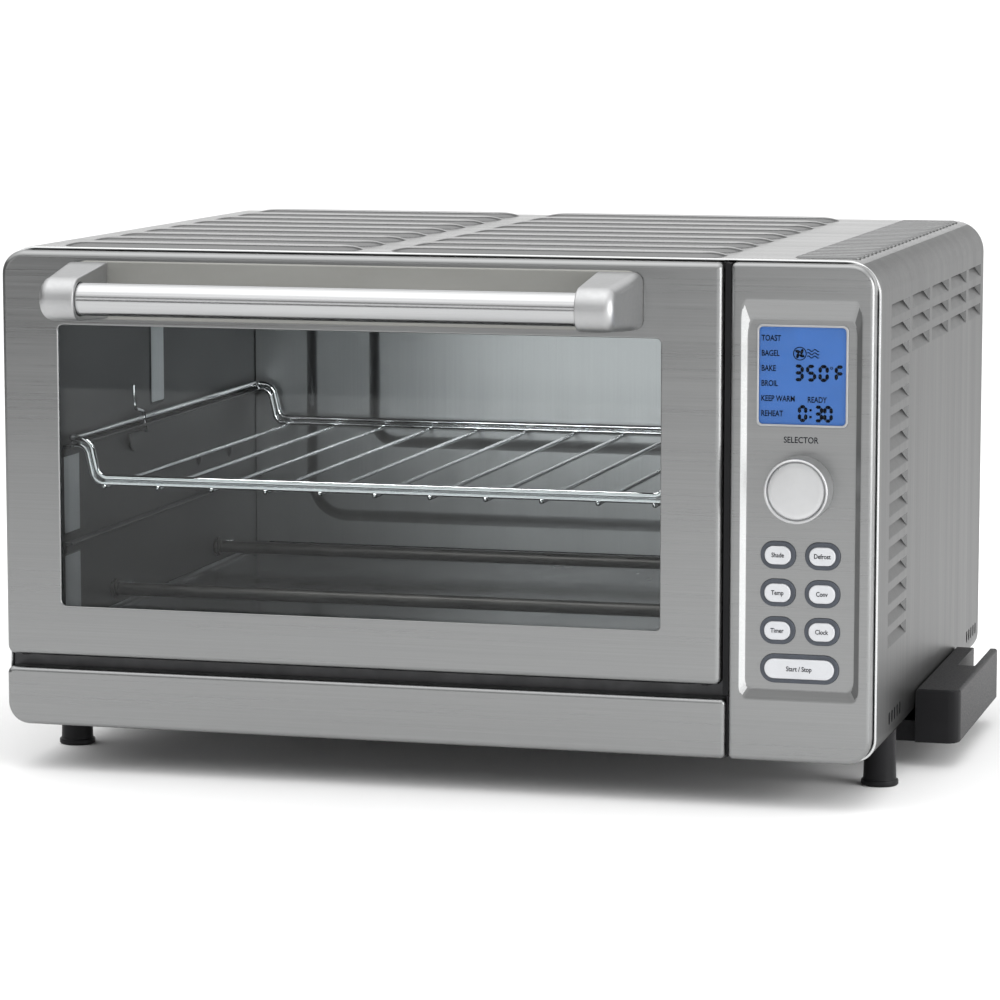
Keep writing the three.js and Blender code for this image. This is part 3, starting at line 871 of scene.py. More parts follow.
def make_casing():
    front = 10.3
    sheet = plate("casing_sheet", (0, front, 0), (WIDE, BACK, TALL), (12, 12, 18, 18), 10)
    open_face(sheet, (0, -1, 0))
    open_face(sheet, (0, 1, 0))
    # the bottom is open between two flanges
    slice_faces(sheet, facing((0, 0, -1)), "x", (30, WIDE - 30))
    pick(sheet, "FACE", facing((0, 0, -1), lambda c: 30 < c.x < WIDE - 30))
    bpy.ops.mesh.delete(type="FACE")
    bpy.ops.object.mode_set(mode="OBJECT")
    for side in (1, -1):
        pressed_louvres(sheet, side)
    # rolled hem round the front
    pick(sheet, "EDGE", lambda e: e.is_boundary and all(abs(p.y - front) < 0.01 for p in ends(e)))
    middle = at(WIDE / 2, front, TALL / 2)
    gone = 0.0
    hem = ((-0.6, 0.1), (-0.45, 0.4), (-0.15, 0.75), (0.15, 1.1), (0.45, 1.4), (0.7, 1.65), (1.6, 1.7))
    for forward, inward in hem:
        bpy.ops.mesh.extrude_region_move(TRANSFORM_OT_translate={"value": (0, forward * MM, 0)})
        narrower = (WIDE - 2 * inward) / (WIDE - 2 * gone)
        lower = (TALL - 2 * inward) / (TALL - 2 * gone)
        bpy.ops.transform.resize(value=(narrower, 1, lower), center_override=middle)
        gone = inward
    bpy.ops.object.mode_set(mode="OBJECT")
    outward(sheet)
    modify(sheet, "SOLIDIFY", thickness=0.8 * MM, offset=-1.0, use_even_offset=True)
    # the small upright slots along the lower edge of each side
    slot = plate("slot", (-2, 49, 13), (4, 53.2, 20), (1.9,) * 4, 4, "x")
    slots = copies(slot, [(x, y + k * 8.6, 0) for x in (-2, 482) for y in (49, 330) for k in range(5)])
    carve(sheet, merge("slots", slots))
    rise = size("rib_height")
    broad = [(2.5, rise * part) for part in (0.4, 0.3, 0.2, 0.1)]
    fine = ((0.8, rise * 0.16), (0.9, rise * 0.22), (0.8, rise * 0.1))
    mounds = ribs(29, 200, 29, 360, 9, 33, 16, broad)
    mounds += ribs(216, 401, 29, 360, 9, 33, 16, broad)
    mounds += ribs(437, 472, 28, 364, 28, 7.6, 3.4, fine)
    sheet = merge("casing_sheet", [sheet, *mounds])
    # The sheet takes the darker painted-shade copy of the steel; its top faces take the lighter
    # painted-light copy and the hem's bead the painted highlight.
    finish(sheet, "chassis", "brushed_painted_shade", ["casing_wrap"], 30)
    second_coat(sheet, "brushed_painted_light", lambda c, normal: c.z > TALL - 1.5 and abs(normal.z) > 0.5)
    second_coat(sheet, "brushed_painted_highlight", lambda c, normal: c.y < front + 0.6)


def make_rear():
    panel = plate("rear_cover", (0.6, 379, 0.6), (485.4, 380.2, 263.4), (11, 11, 17, 17), 8)
    press(panel, (0, 1, 0), ((6, 0), (1.4, 0.5), (1.2, 0.5)))
    tools = [block("mouth", (28.4, 375, 49.9), (385.6, 385, 54.6))]
    for first, pitch, wide in ((410, 22, 17), (60, 40, 32)):
        slot = plate("slot", (first, 375, 140), (first + wide, 385, 144.4), (2.1,) * 4, 4)
        places = [(first + k * pitch, 0, 140 + row * 11) for row in range(9) for k in range(3)]
        tools += copies(slot, places)
    tools.append(rod("cord_hole", (CORD[0], 375, CORD[1]), (CORD[0], 385, CORD[1]), 8.4, "y", 32))
    carve(panel, merge("rear_cuts", tools))
    finish(panel, "chassis", "brushed_front", ["rear_panel"], 30)
    places = [(x, 0, z) for x in (9, 243, 477) for z in (12, 132, 252) if (x, z) != (243, 132)]
    x, _, z = places[0]
    dome = ((0, 382.4), (2.2, 382.2), (3.4, 381.4), (3.6, 380.3), (0, 380.3))
    head = lathe("screw", dome, places[0], "y", 16)
    for wide, tall in ((0.35, 2.4), (2.4, 0.35)):
        carve(head, block("cross", (x - wide, 381.6, z - tall), (x + wide, 384, z + tall)))
    screws = copies(head, places)
    finish(merge("rear_screws", screws), "chassis", "chrome")


def make_lower_panel():
    panel = plate("lower_skin", (1.8, 0, 0), (407, 9.4, 32), (12, 2.9, 2.9, 4), 8)
    soften(panel, 0, size("panel_round"), 5)
    fold(panel)
    finish(panel, "chassis", "brushed_front", ["lower_front_panel"], 40)
    strip = merge(
        "column_gasket",
        [
            plate("a", (405.0, 3.0, 34), (408.2, 11, 262), (0.6,) * 4, 2),
            plate("b", (407.2, 3.0, 1), (408.2, 11, 33.6), (0.3,) * 4, 2),
        ],
    )
    finish(strip, "chassis", "black")


COLUMN_X = 446.4
KNOB_Z = 145.4
RECESS = 1.5
DISPLAY_LOW = (422.9, 178.0)
DISPLAY_HIGH = (469.9, 230.0)
KEYS = [  # name, printed word, middle across and up
    ("shade", "Shade", COLUMN_X - 11.8, 109.9),
    ("defrost", "Defrost", COLUMN_X + 11.8, 109.9),
    ("temperature", "Temp", COLUMN_X - 11.8, 90.0),
    ("convection", "Conv", COLUMN_X + 11.8, 90.0),
    ("timer", "Timer", COLUMN_X - 11.8, 70.0),
    ("clock", "Clock", COLUMN_X + 11.8, 70.0),
    ("start", "Start / Stop", COLUMN_X, 49.9),
]


def key_plate(name, key, grow, front, back, segments=8):
    label, _, x, z = key
    wide, tall, corner = (37.2, 10.6, 5.2) if label == "start" else (14.0, 9.8, 4.6)
    low = (x - wide / 2 - grow, front, z - tall / 2 - grow)
    high = (x + wide / 2 + grow, back, z + tall / 2 + grow)
    return plate(name, low, high, (corner + grow,) * 4, segments)


def screen_plate(name, grow, front, back, corner):
    """A plate the size of the display, grown by some millimetres all round."""
    (x0, z0), (x1, z1) = DISPLAY_LOW, DISPLAY_HIGH
    return plate(name, (x0 - grow, front, z0 - grow), (x1 + grow, back, z1 + grow), (corner,) * 4)


def make_column():
    panel = plate("column_skin", (408.5, 0, 0), (484.3, 9.4, 262.4), (2.9, 13, 13, 2.9), 10)
    soften(panel, 0, size("panel_round"), 5)
    # the recess's cutter narrows with depth, most at the top
    dish = block("dish", (414.1, -RECESS, 33.1), (478.0, RECESS, 243.5))
    for v in dish.data.vertices:
        p = spot(v.co)
        deep = p.y / RECESS
        p.x += 3.3 * deep if p.x < COLUMN_X else -3.0 * deep
        p.z += 5.2 * deep if p.z < KNOB_Z else -10.0 * deep
        v.co = at(*p)
    pick(dish, "EDGE", lambda e: abs(ends(e)[0].y - ends(e)[1].y) > 2)
    bevel_picked(3.4, 5)
    carve(panel, dish)
    brink = rim("y", 0, lambda a, b: 412 < a.x < 480 and 20 < a.z < 250)
    foot = rim("y", RECESS)
    pick(panel, "EDGE", lambda e: foot(e) or brink(e))
    bevel_picked(0.7, 3)
    fold(panel)
    tools = [
        screen_plate("window", 0.8, -3, 5, 3.2),
        rod("bore", (COLUMN_X, -3, KNOB_Z), (COLUMN_X, 5, KNOB_Z), 4.4, "y"),
        *[key_plate("hole", key, 2.5, -3, 5) for key in KEYS],
    ]
    carve(panel, merge("column_cuts", tools))
    finish(panel, "chassis", "brushed_front", ["control_panel"], 40)

    def slope(x0, x1):
        """Test for the recess's sloping side between two places across."""
        return lambda c, normal: x0 < c.x < x1 and 34 < c.z < 243 and c.y < 1.6 and abs(normal.x) > 0.2

    # Painted shade on the recess's right slope and a painted highlight on its left slope, from darker and
    # brighter copies of the steel.
    second_coat(panel, "brushed_painted_shade", slope(474, 479))
    second_coat(panel, "brushed_painted_highlight", slope(413, 418))
    lettering("selector_word", "SELECTOR", COLUMN_X - 0.4, 170.4, 1.44, 3.3, narrow=0.86, bold=0.05)


PRINT_Y = 2.84
WORD_PITCH = 7.88
FIGURE_TALL = 7.1
BAR_THICK = 2.05
BAR_GAP = 0.3
SEGMENTS = {
    "0": "abcdef",
    "3": "abgcd",
    "5": "afgcd",
    "F": "afge",
}


def printed_disc(name, x, z, sides, radius, stretch, turn):
    """A thin disc printed on the screen, stretched across and up, then turned about its middle."""
    clear()
    middle = at(x, PRINT_Y, z)
    bpy.ops.mesh.primitive_cylinder_add(
        vertices=sides,
        radius=radius * MM,
        depth=0.1 * MM,
        location=middle,
        rotation=(math.pi / 2, 0, 0),
    )
    disc = settle(bpy.context.object, name)
    pick(disc, "VERT", lambda v: True)
    bpy.ops.transform.resize(value=(stretch[0], 1, stretch[1]), center_override=middle)
    bpy.ops.transform.rotate(value=turn, orient_axis="Y", center_override=middle)
    bpy.ops.object.mode_set(mode="OBJECT")
    return disc


def segment_digit(glyph, x, z, wide):
    """One figure from six-sided bars; x and z are its lower left corner."""
    half = FIGURE_TALL / 2
    spots = {
        "a": (x + wide / 2, z + FIGURE_TALL),
        "g": (x + wide / 2, z + half),
        "d": (x + wide / 2, z),
        "b": (x + wide, z + 1.5 * half),
        "c": (x + wide, z + 0.5 * half),
        "f": (x, z + 1.5 * half),
        "e": (x, z + 0.5 * half),
    }
    bars = []
    for letter in SEGMENTS[glyph]:
        flat = letter in "adg"
        # the disc's points lie along z, so a level bar is a quarter turn of an upright one
        stretch = (BAR_THICK, (wide if flat else half) - BAR_GAP)
        bars.append(printed_disc("bar", *spots[letter], 6, 0.5, stretch, math.pi / 2 if flat else 0))
    return bars


def make_display():
    frame_ring = screen_plate("display_frame", 0.7, 1.0, 2.4, 3.1)
    carve(frame_ring, screen_plate("inner", -0.55, 0, 4, 2.2))
    soften(frame_ring, 1.0, 0.35, 3)
    finish(frame_ring, "chassis", "satin_cast")
    pane = screen_plate("display_pane", -0.6, 1.7, 2.3, 2.1)
    soften(pane, 1.7, 0.15, 2)
    finish(pane, "chassis", "display_cover", ["display_lens"])
    screen = screen_plate("display_screen", 1.5, 2.9, 7.1, 1.5)
    soften(screen, 2.9, 0.3, 2)
    finish(screen, "chassis", "display", ["display_module"])
    tall = size("words")
    for row, words in enumerate(("TOAST", "BAGEL", "BAKE", "BROIL", "KEEP WARM", "REHEAT")):
        name = "word_" + words.lower().replace(" ", "_")
        lettering(name, words, 424.4, 223.3 - row * WORD_PITCH, PRINT_Y, tall, align="LEFT")
    lettering("word_ready", "READY", 454.0, 191.5, PRINT_Y, tall)
    bars = [printed_ring(461.5, 208.4, 0.42, 0.78, 16)]
    for glyph, x, wide in (("3", 442.3, 3.7), ("5", 448.9, 3.7), ("0", 455.5, 3.7), ("F", 464.0, 3.6)):
        bars += segment_digit(glyph, x, 202.0, wide)
    finish(merge("display_temperature", bars), "chassis", "ink")
    dot = plate("dot", (450.0, 2.78, 181.95), (451.3, 2.88, 183.25), (0.2,) * 4, 2)
    dots = copies(dot, [(0, 0, 0), (0, 0, 3.6)])
    for glyph, x in (("0", 444.8), ("3", 453.1), ("0", 458.2)):
        dots += segment_digit(glyph, x, 180.8, 3.3)
    finish(merge("display_time", dots), "chassis", "ink")
    # the fan's sign: a ring, four blades and three waves of air
    x, z = 444.7, 215.6
    icon = [printed_ring(x, z, 3.1, 3.6, 32)]
    for turn in (math.radians(45 + 90 * k) for k in range(4)):
        place = (x + 1.55 * math.cos(turn), z + 1.55 * math.sin(turn))
        icon.append(printed_disc("blade", *place, 14, 1.0, (1.45, 0.8), turn + 0.5))
    wave = [(448.6 + s * 0.45, 2.74, 217.4 + 0.55 * math.sin(s * 0.82 + 0.5)) for s in range(15)]
    icon += copies(wire("wave", wave, 0.26, 8), [(0, 0, -1.7 * k) for k in range(3)])
    finish(merge("display_fan_icon", icon), "chassis", "ink")


def printed_ring(x, z, inner, outer, sides):
    outline = ((inner, 2.78), (outer, 2.78), (outer, 2.88), (inner, 2.88), (inner, 2.78))
    return lathe("printed_ring", outline, (x, 0, z), "y", sides)


def make_knob():
    profile = (
        (0, -13.8),
        (12.0, -13.7),
        (14.2, -13.5),
        (14.9, -13.0),
        (15.1, -12.6),
        (15.4, -12.9),
        (15.5, -14.0),
        (15.8, -14.4),
        (16.3, -14.5),
        (16.8, -14.2),
        (17.0, -13.4),
        (17.1, -6.0),
        (17.2, 0.3),
        (16.9, 1.0),
        (0, 1.1),
    )
    knob = lathe("knob_turned", profile, (COLUMN_X, 0, KNOB_Z), "y", 72)
    finish(knob, "knob", "satin_knob", ["selector_knob"], 40)


def make_keys():
    rings = []
    for key in KEYS:
        ring = key_plate("ring", key, 2.35, 0.25, 2.4)
        soften(ring, 0.25, 0.55, 3)
        carve(ring, key_plate("hole", key, 0.12, -3, 5))
        rings.append(ring)
    finish(merge("key_rings", rings), "chassis", "ring", ["keypad_surround"])
    for key in KEYS:
        name, words, x, z = key
        cap = key_plate(name + "_cap", key, -0.05, -0.6, 4.8)
        soften(cap, -0.6, 0.55, 4)
        finish(cap, name + "_key", "cap", [name + "_button"])
        tall = 2.5 if name != "start" else 2.6
        lettering(name + "_word", words, x, z, -0.63, tall, name + "_key", narrow=0.82, bold=0.05)


def hinge_notches():
    """Cutters for the notches round the two hinges, in the door's lower corners."""
    return [block("notch", (x, 1.6, 30), (x + 16.6, 14, 60)) for x in (3.4, 386)]


def make_door():
    skin = plate("door_outer", (1.8, 0, 38.9), (404.2, 9.4, 262.2), (5, 3.6, 3.6, 13), 10)
    soften(skin, 0, 3.4, 5)
    fold(skin)
    carve(skin, plate("window", (34.5, -3, 67.1), (371.4, 5, 221.9), (3,) * 4, 6))
    pick(skin, "EDGE", rim("y", 0, lambda a, b: 33 < a.x < 373 and 60 < a.z < 230))
    bevel_picked(0.85, 3)
    carve(skin, *hinge_notches())
    finish(skin, "door", "brushed_front", ["door_skin"], 40)
    glass = plate("door_pane", (25.5, 1.9, 58.1), (380.4, 5.7, 230.9), (2,) * 4, 3)
    soften(glass, 1.9, 0.4, 2)
    finish(glass, "door", "glass", ["door_glass"])
    inner = plate("door_liner", (3.8, 8.1, 40.9), (402.2, 9.3, 260.2), (4, 2, 2, 11), 6)
    lip = plate("lip", (27.5, 6.1, 60.1), (378.4, 8.6, 228.9), (4,) * 4, 4)
    carve(inner, lip, operation="UNION")
    carve(inner, plate("window", (31.5, 0, 64.1), (374.4, 15, 224.9), (3,) * 4, 6), *hinge_notches())
    finish(inner, "door", "liner", ["door_inner_frame"])
    places = [(x, 0, z) for x in (12, 394) for z in (100, 236)]
    dome = ((0, 10.2), (1.8, 10.0), (2.8, 9.4), (2.8, 9.2), (0, 9.2))
    head = lathe("screw", dome, places[0], "y", 16)
    finish(merge("door_screws", copies(head, places)), "door", "chrome")


HANDLE_Z = 239.8
HANDLE_Y = -42.5


def make_handle():
    bar = lathe(
        "grip_bar",
        ((0, 57.2), (8.6, 57.2), (8.8, 57.4), (8.8, 343.4), (8.6, 343.6), (0, 343.6)),
        (0, HANDLE_Y, HANDLE_Z),
        "x",
        96,
    )
    finish(bar, "door", "satin", ["handle_bar"], 40)
    for side, x0, x1, out in (("left", 44.3, 64.3, -1), ("right", 337.6, 357.6, 1)):
        post = block("post_" + side, (x0, -54.2, 228.1), (x1, -0.9, 251.6))
        for y, z in ((-54.2, 228.1), (-54.2, 251.6)):
            pick(post, "EDGE", lambda e: all(abs(p.y - y) < 0.01 and abs(p.z - z) < 0.01 for p in ends(e)))
            bevel_picked(11.6, 12)
        slice_faces(post, lambda f: True, "y", (-3.5,))
        outer = x1 if out > 0 else x0
        pick(post, "VERT", lambda v: spot(v.co).y > -5)
        mesh = bmesh.from_edit_mesh(post.data)
        for v in mesh.verts:
            if v.select:
                p = spot(v.co)
                top = p.z > HANDLE_Z
                v.co = at(p.x + (4.2 * out if abs(p.x - outer) < 0.1 else 0), p.y, 256.6 if top else 226.0)
        bmesh.update_edit_mesh(post.data)
        bpy.ops.object.mode_set(mode="OBJECT")
        # soft outer shoulder, crisp edge on the side of the bar
        middle = (x0 + x1) / 2

        def side_edge(edge, outside):
            a, b = ends(edge)
            if (a.x + b.x - 2 * middle) * out * (1 if outside else -1) < 0:
                return False
            turned = [abs(f.normal.x) > 0.9 for f in edge.link_faces]
            return any(turned) and not all(turned) and not (a.y > -1 and b.y > -1)

        pick(post, "EDGE", lambda e: side_edge(e, True))
        bevel_picked(5.0, 6)
        pick(post, "EDGE", lambda e: side_edge(e, False))
        bevel_picked(0.9, 3)
        mouth = (332, 344.2) if out > 0 else (56.6, 69)
        bore = rod("socket", (mouth[0], HANDLE_Y, HANDLE_Z), (mouth[1], HANDLE_Y, HANDLE_Z), 9.3, "x", 48)
        carve(post, bore)
        finish(post, "door", "satin_cast", ["handle_post_" + side], 40)
    pad = plate("handle_pad", (43.0, -1.5, 225.4), (361.6, -0.02, 257.4), (9, 9, 9, 9), 8)
    soften(pad, -1.5, 1.1, 4)
    finish(pad, "door", "pad")


CAVITY_MIDDLE = 207.0
ROD_Y = (100, 280)
ROD_Z = (62, 236)
FAN = (215, 160)


def field(low, high, axis, out, radius, steps):
    """A pressed field on a wall: a rounded plate whose face rises in soft steps towards `out`."""
    piece = plate("field", low, high, (radius,) * 4, 8, axis)
    way = [0, 0, 0]
    way["xyz".index(axis)] = out
    return press(piece, way, steps)


def make_wall(side, low, high, way):
    """One side wall: holes for the rods, pressed dimples, and bright strips between them."""
    wall = block("liner_" + side, (low, 13.2, 50.1), (high, 358.4, 249.6))
    tools = [rod("hole", (low - 4, y, z), (high + 4, y, z), 5.8, "x", 24) for y in ROD_Y for z in ROD_Z]
    if side == "right":
        tools.append(rod("fan_hole", (low - 4, *FAN), (high + 4, *FAN), 40, "x", 64))
        tools.append(rod("probe_hole", (low - 4, 330, 225), (high + 4, 330, 225), 3.6, "x", 16))
    carve(wall, merge("holes", tools))
    face = high if way > 0 else low
    outline = ((0, 1.5), (2.2, 1.2), (3.6, 0.5), (4.4, 0.0), (4.4, -0.5), (0, -0.5))
    dome = [(radius, face + way * height) for radius, height in outline]
    pressed = copies(lathe("dimple", dome, (0, 249, 120), "x", 20), [(0, 249, 120), (0, 306, 119)])
    x0, x1 = sorted((face - way * 0.3, face + way * 0.05))
    for y0, y1, z0, z1 in ((21, 48, 57, 93), (21, 48, 102, 149), (163, 188, 161, 243)):
        pressed.append(field((x0, y0, z0), (x1, y1, z1), "x", way, 3, ((0.8, 0.2), (1.0, 0.3), (0.8, 0.1))))
    wall = merge("liner_" + side, [wall, *pressed])
    finish(wall, "chassis", "wall", ["cavity_%s_wall" % side])

    def strip(c, normal):
        raised = way * (c.x - face) > 0.5
        return raised and (22 < c.y < 47 and 58 < c.z < 148 or 164 < c.y < 187 and 162 < c.z < 242)

    second_coat(wall, "strip", strip)


def make_guide(name, wall, out, z):
    """A ledge that the rack slides on: a flange on a web along the wall."""
    x0, x1 = sorted((wall, wall + out * 5.2))
    rail = block("rail", (x0, 22, z - 1.6), (x1, 352, z))
    x0, x1 = sorted((wall, wall + out * 1.2))
    web = block("web", (x0, 22, z - 6.4), (x1, 352, z - 0.5))
    carve(rail, web, operation="UNION")
    pick(rail, "EDGE", lambda e: all(abs(p.x - wall - out * 5.2) < 0.1 for p in ends(e)))
    bevel_picked(0.6, 3)
    finish(rail, "chassis", "wall", [name])


def make_hook():
    """Catch for the door's wire hook, on the left wall."""
    tab = plate("hook_tab", (29.4, 122, 138), (30.4, 148, 149), (10, 10, 1, 1), 8, "x")
    finish(tab, "chassis", "wall")
    path = bent([(31.6, 126, 177), (31.6, 127.5, 163), (31.6, 142, 160), (31.6, 145.5, 148)], 4.0)
    finish(wire("rack_hook", path, 1.0, 12), "chassis", "chrome")


def make_cavity():
    make_wall("left", 26.5, 27.6, 1)
    make_wall("right", 386.4, 387.5, -1)
    back = block("liner_back", (28.2, 356.9, 55.4), (385.8, 358.5, 249.6))
    soft = ((2.0, 0.3), (2.2, 1.0), (2.2, 1.0), (2.0, 0.3))
    outer = field((62, 356.7, 70), (352, 357.2, 241), "y", -1, 26, soft)
    inner = field((104, 354.1, 118), (310, 354.6, 229), "y", -1, 18, soft)
    finish(merge("liner_back", [back, outer, inner]), "chassis", "back_liner", ["cavity_back"])
    top = block("liner_top", (26.5, 13.2, 250), (387.5, 358.5, 251.2))
    vault = field((70, 60, 249.7), (344, 310, 250.2), "z", -1, 20, ((2.5, 0.6), (2.5, 0.6)))
    finish(merge("liner_top", [top, vault]), "chassis", "wall", ["cavity_top"])
    floor = block("liner_floor", (26.5, 13.2, 48.4), (387.5, 358.5, 49.5))
    finish(floor, "chassis", "floor_sheet", ["cavity_floor"])
    for level, z in (("upper", 153.2), ("lower", 99.0)):
        make_guide(level + "_guide_left", 28.0, 1, z)
        make_guide(level + "_guide_right", 386.0, -1, z)
    make_hook()


def bent(points, radius, steps=7, closed=False):
    """A path along straight runs whose corners are rounded."""
    knots = [Vector(p) for p in points]
    path = []
    count = len(knots)
    for i, corner in enumerate(knots):
        if not closed and i in (0, count - 1):
            path.append(corner)
            continue
        back = (knots[i - 1] - corner).normalized()
        ahead = (knots[(i + 1) % count] - corner).normalized()
        angle = back.angle(ahead)
        if angle > 3.13:
            path.append(corner)
            continue
        reach = radius[i] if isinstance(radius, (list, tuple)) else radius
        centre = corner + (back + ahead).normalized() * reach / math.sin(angle / 2)
        cut = reach / math.tan(angle / 2)
        start = corner + back * cut - centre
        stop = corner + ahead * cut - centre
        for s in range(steps + 1):
            path.append(centre + start.slerp(stop, s / steps).normalized() * reach)
    return path


def make_rack():
    x0, x1 = 30.6, 383.4
    front, rear = 26.4, 348.0
    rail, low = 156.6, 135.6
    loop = [
        (x0, rear, rail), (x0, front, rail), (x0 + 11.6, front, rail), (x0 + 16.4, front, low),
        (x1 - 16.4, front, low), (x1 - 11.6, front, rail), (x1, front, rail), (x1, rear, rail),
        (x1 - 11.6, rear, rail), (x1 - 16.4, rear, low), (x0 + 16.4, rear, low), (x0 + 11.6, rear, rail),
    ]
    radii = [4.0, 4.0, 7.5, 6.5, 6.5, 7.5, 4.0, 4.0, 7.5, 6.5, 6.5, 7.5]
    pieces = [wire("loop", bent(loop, radii, 8, True), size("wire"), 16, True)]
    for y in (front, rear):
        second = [
            (x0 + 1.5, y, rail - 3.1), (x0 + 9.4, y, rail - 3.1), (x0 + 14.2, y, low - 3.1),
            (x1 - 14.2, y, low - 3.1), (x1 - 9.4, y, rail - 3.1), (x1 - 1.5, y, rail - 3.1),
        ]
        pieces.append(wire("second", bent(second, 6.0, 8), size("slat") + 0.15, 16))
    for k in range(-5, 6):
        x = CAVITY_MIDDLE + k * 31.2
        z = low - 5.2
        pieces.append(rod("slat", (x, front - 1.0, z), (x, rear + 1.0, z), size("slat"), "y", 12))
        for y, out in ((front, -1), (rear, 1)):
            bead = ((0, 2.6), (0.9, 2.3), (1.5, 1.4), (1.5, 0), (1.0, -1), (0, -1))
            tip = [(radius, y + out * along) for radius, along in bead]
            pieces.append(lathe("weld", tip, (x, 0, z + 0.3), "y", 12))
    rack = merge("rack_wires", pieces)
    finish(rack, "rack", "chrome", ["wire_rack"], 50)


def make_rods():
    # stepped insulator from the rod's end to its sheath; the far end is its mirror image
    half = [
        (0, 19.2), (7.2, 19.2), (7.4, 19.5), (7.4, 26.0), (5.0, 26.2), (5.0, 28.6),
        (6.1, 28.7), (6.1, 29.6), (4.3, 29.8), (4.3, 31.2), (3.75, 31.6),
    ]
    profile = half + [(radius, CAVITY_MIDDLE * 2 - along) for radius, along in reversed(half)]
    for end, y in zip(("front", "rear"), ROD_Y):
        for level, z in zip(("lower", "upper"), ROD_Z):
            name = "%s_element_%s" % (level, end)
            sheath = lathe(name + "_sheath", profile, (0, y, z), "x", 32)
            finish(sheath, "chassis", "heater", [name], 30)
    places = [(0, y, z) for y in ROD_Y for z in ROD_Z]
    _, y, z = places[0]
    clip = plate("clip", (34.5, y - 1.8, z + 3.6), (39.0, y + 1.8, z + 4.5), (0.4,) * 4, 2, "x")
    finish(merge("rod_clips", copies(clip, places)), "chassis", "chrome")


def make_tray():
    tray = block("tray_pan", (29, 16, 50.0), (385, 356, 53.4))
    press(tray, (0, 0, 1), ((0.9, 0), (0.5, -1.2), (0.3, -1.2)))
    tongue = block("tongue", (62, 355, 50.0), (352, 381.3, 51.0))
    lip = plate("lip", (27, 380.8, 42), (387, 382.3, 60.2), (3, 3, 3, 3), 5)
    soften(lip, 382.3, 0.6, 3)
    carve(tray, tongue, lip, operation="UNION")
    finish(tray, "tray", "floor_sheet", ["crumb_tray"])


def make_bracket():
    piece = block("wall_spacer", (486.3, 137, -12), (511, 287, 17.9))
    pick(piece, "EDGE", lambda e: all(p.x > 510 and p.y < 138 for p in ends(e)))
    bevel_picked(5.0, 2)
    pick(piece, "EDGE", lambda e: all(p.x > 505 for p in ends(e)) or all(p.z > 17 for p in ends(e)))
    bevel_picked(1.6, 4)
    foot = block("under", (470, 140, -12), (487.5, 284, -0.5))
    pick(foot, "EDGE", lambda e: all(p.z < -11 for p in ends(e)) and all(p.x < 471 for p in ends(e)))
    bevel_picked(1.2, 3)
    carve(piece, foot, operation="UNION")
    carve(
        piece,
        plate("channel", (497, 222, 3), (507, 300, 30), (2, 2, 0.2, 0.2), 4),
        plate("corner", (400, 100, -0.3), (486.3, 400, 60), (0.1, 0.1, 0.1, 0.1), 2),
    )
    finish(piece, "chassis", "black", ["side_bracket"], 35)


def make_feet():
    profile = (
        (0, -26), (9.4, -26), (10.2, -25.2), (10.2, -23.6), (9.9, -22.9),
        (9.2, -22.6), (9.0, -21.8), (8.6, -8.0), (8.6, -1.2), (0, -1.2),
    )
    for end, y in (("front", 84), ("rear", 330)):
        for side, x in (("left", 10.3), ("right", 475.7)):
            foot = lathe("foot_%s_%s_boot" % (end, side), profile, (x, y, 0), "z", 40)
            # the neck climbs into the casing's rounded lower corner
            neck = rod("neck", (x, y, -6), (x, y, 9), 8.6, "z", 40)
            outer = plate("casing_form", (-0.3, -40, -0.3), (486.3, 420, 264), (12.3, 12.3, 18, 18), 8)
            carve(neck, outer)
            carve(foot, neck, operation="UNION")
            finish(foot, "chassis", "black", ["foot_%s_%s" % (end, side)], 30)


def make_inside():
    """Pieces seen only through the slots and the open door keep their CAD form."""
    kept = {
        "dark": ["front_frame", "base_plate", "compartment_divider", "fan_motor"]
        + ["hinge_%s_%s" % (part, side) for part in ("bracket", "arm") for side in ("left", "right")],
        "chrome": ["knob_shaft", "fan_shaft", "temperature_probe", "hinge_pin_left", "hinge_pin_right"],
        "black": ["encoder"],
        "board": ["control_board", "power_board"],
        "satin_cast": ["fan_wheel"],
    }
    for name, nodes in kept.items():
        for node in nodes:
            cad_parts[node].data.materials.clear()
            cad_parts[node].data.materials.append(coat(name))
    disc = lathe("grille_disc", ((0, 387.8), (46, 387.8), (46, 388.9), (0, 388.9)), (0, *FAN), "x", 64)
    tools = []
    for ring, count in ((13, 6), (24, 12), (35, 18)):
        for k in range(count):
            a = 2 * math.pi * k / count
            y, z = FAN[0] + ring * math.cos(a), FAN[1] + ring * math.sin(a)
            tools.append(rod("hole", (380, y, z), (395, y, z), 4.0, "x", 16))
    carve(disc, merge("grille_holes", tools))
    finish(disc, "chassis", "liner", ["fan_grille"])
    profile = (
        (4.3, 374.2), (7.4, 374.2), (7.9, 375), (7.9, 380.7), (10.6, 380.8), (11.0, 381.3), (11.0, 383.4),
        (10.2, 384.2), (8.0, 384.6), (7.0, 387.2), (6.2, 387.9), (4.6, 387.9), (4.3, 387.5), (4.3, 374.2),
    )
    gland = lathe("gland_boot", profile, (CORD[0], 0, CORD[1]), "y", 40)
    finish(gland, "chassis", "black", ["cord_gland"])


# ---- stage --------------------------------------------------------------------------------------

STAND = -26.0
LENS = 143.1
CAMERA = (828.5, -2024.2, 402.5)
CAMERA_TURN = (82.7, 0.0, 15.05)


def make_floor():
    clear()
    bpy.ops.mesh.primitive_plane_add(size=600, location=at(250, 160, STAND))
    card = settle(bpy.context.object, "studio_floor")
    card.data.materials.append(floor_card("floor_card"))


def area_light(name, place, target, width, power, stretch=1.0):
    """A soft rectangular lamp aimed at a target, unseen by the camera."""
    clear()
    bpy.ops.object.light_add(type="AREA", location=at(*place))
    lamp = bpy.context.object
    lamp.name = name
    lamp.data.shape = "RECTANGLE"
    lamp.data.size = width
    lamp.data.size_y = width * stretch
    lamp.data.energy = power
    lamp.rotation_euler = (at(*target) - at(*place)).to_track_quat("-Z", "Y").to_euler()
    lamp.visible_camera = False
    return lamp


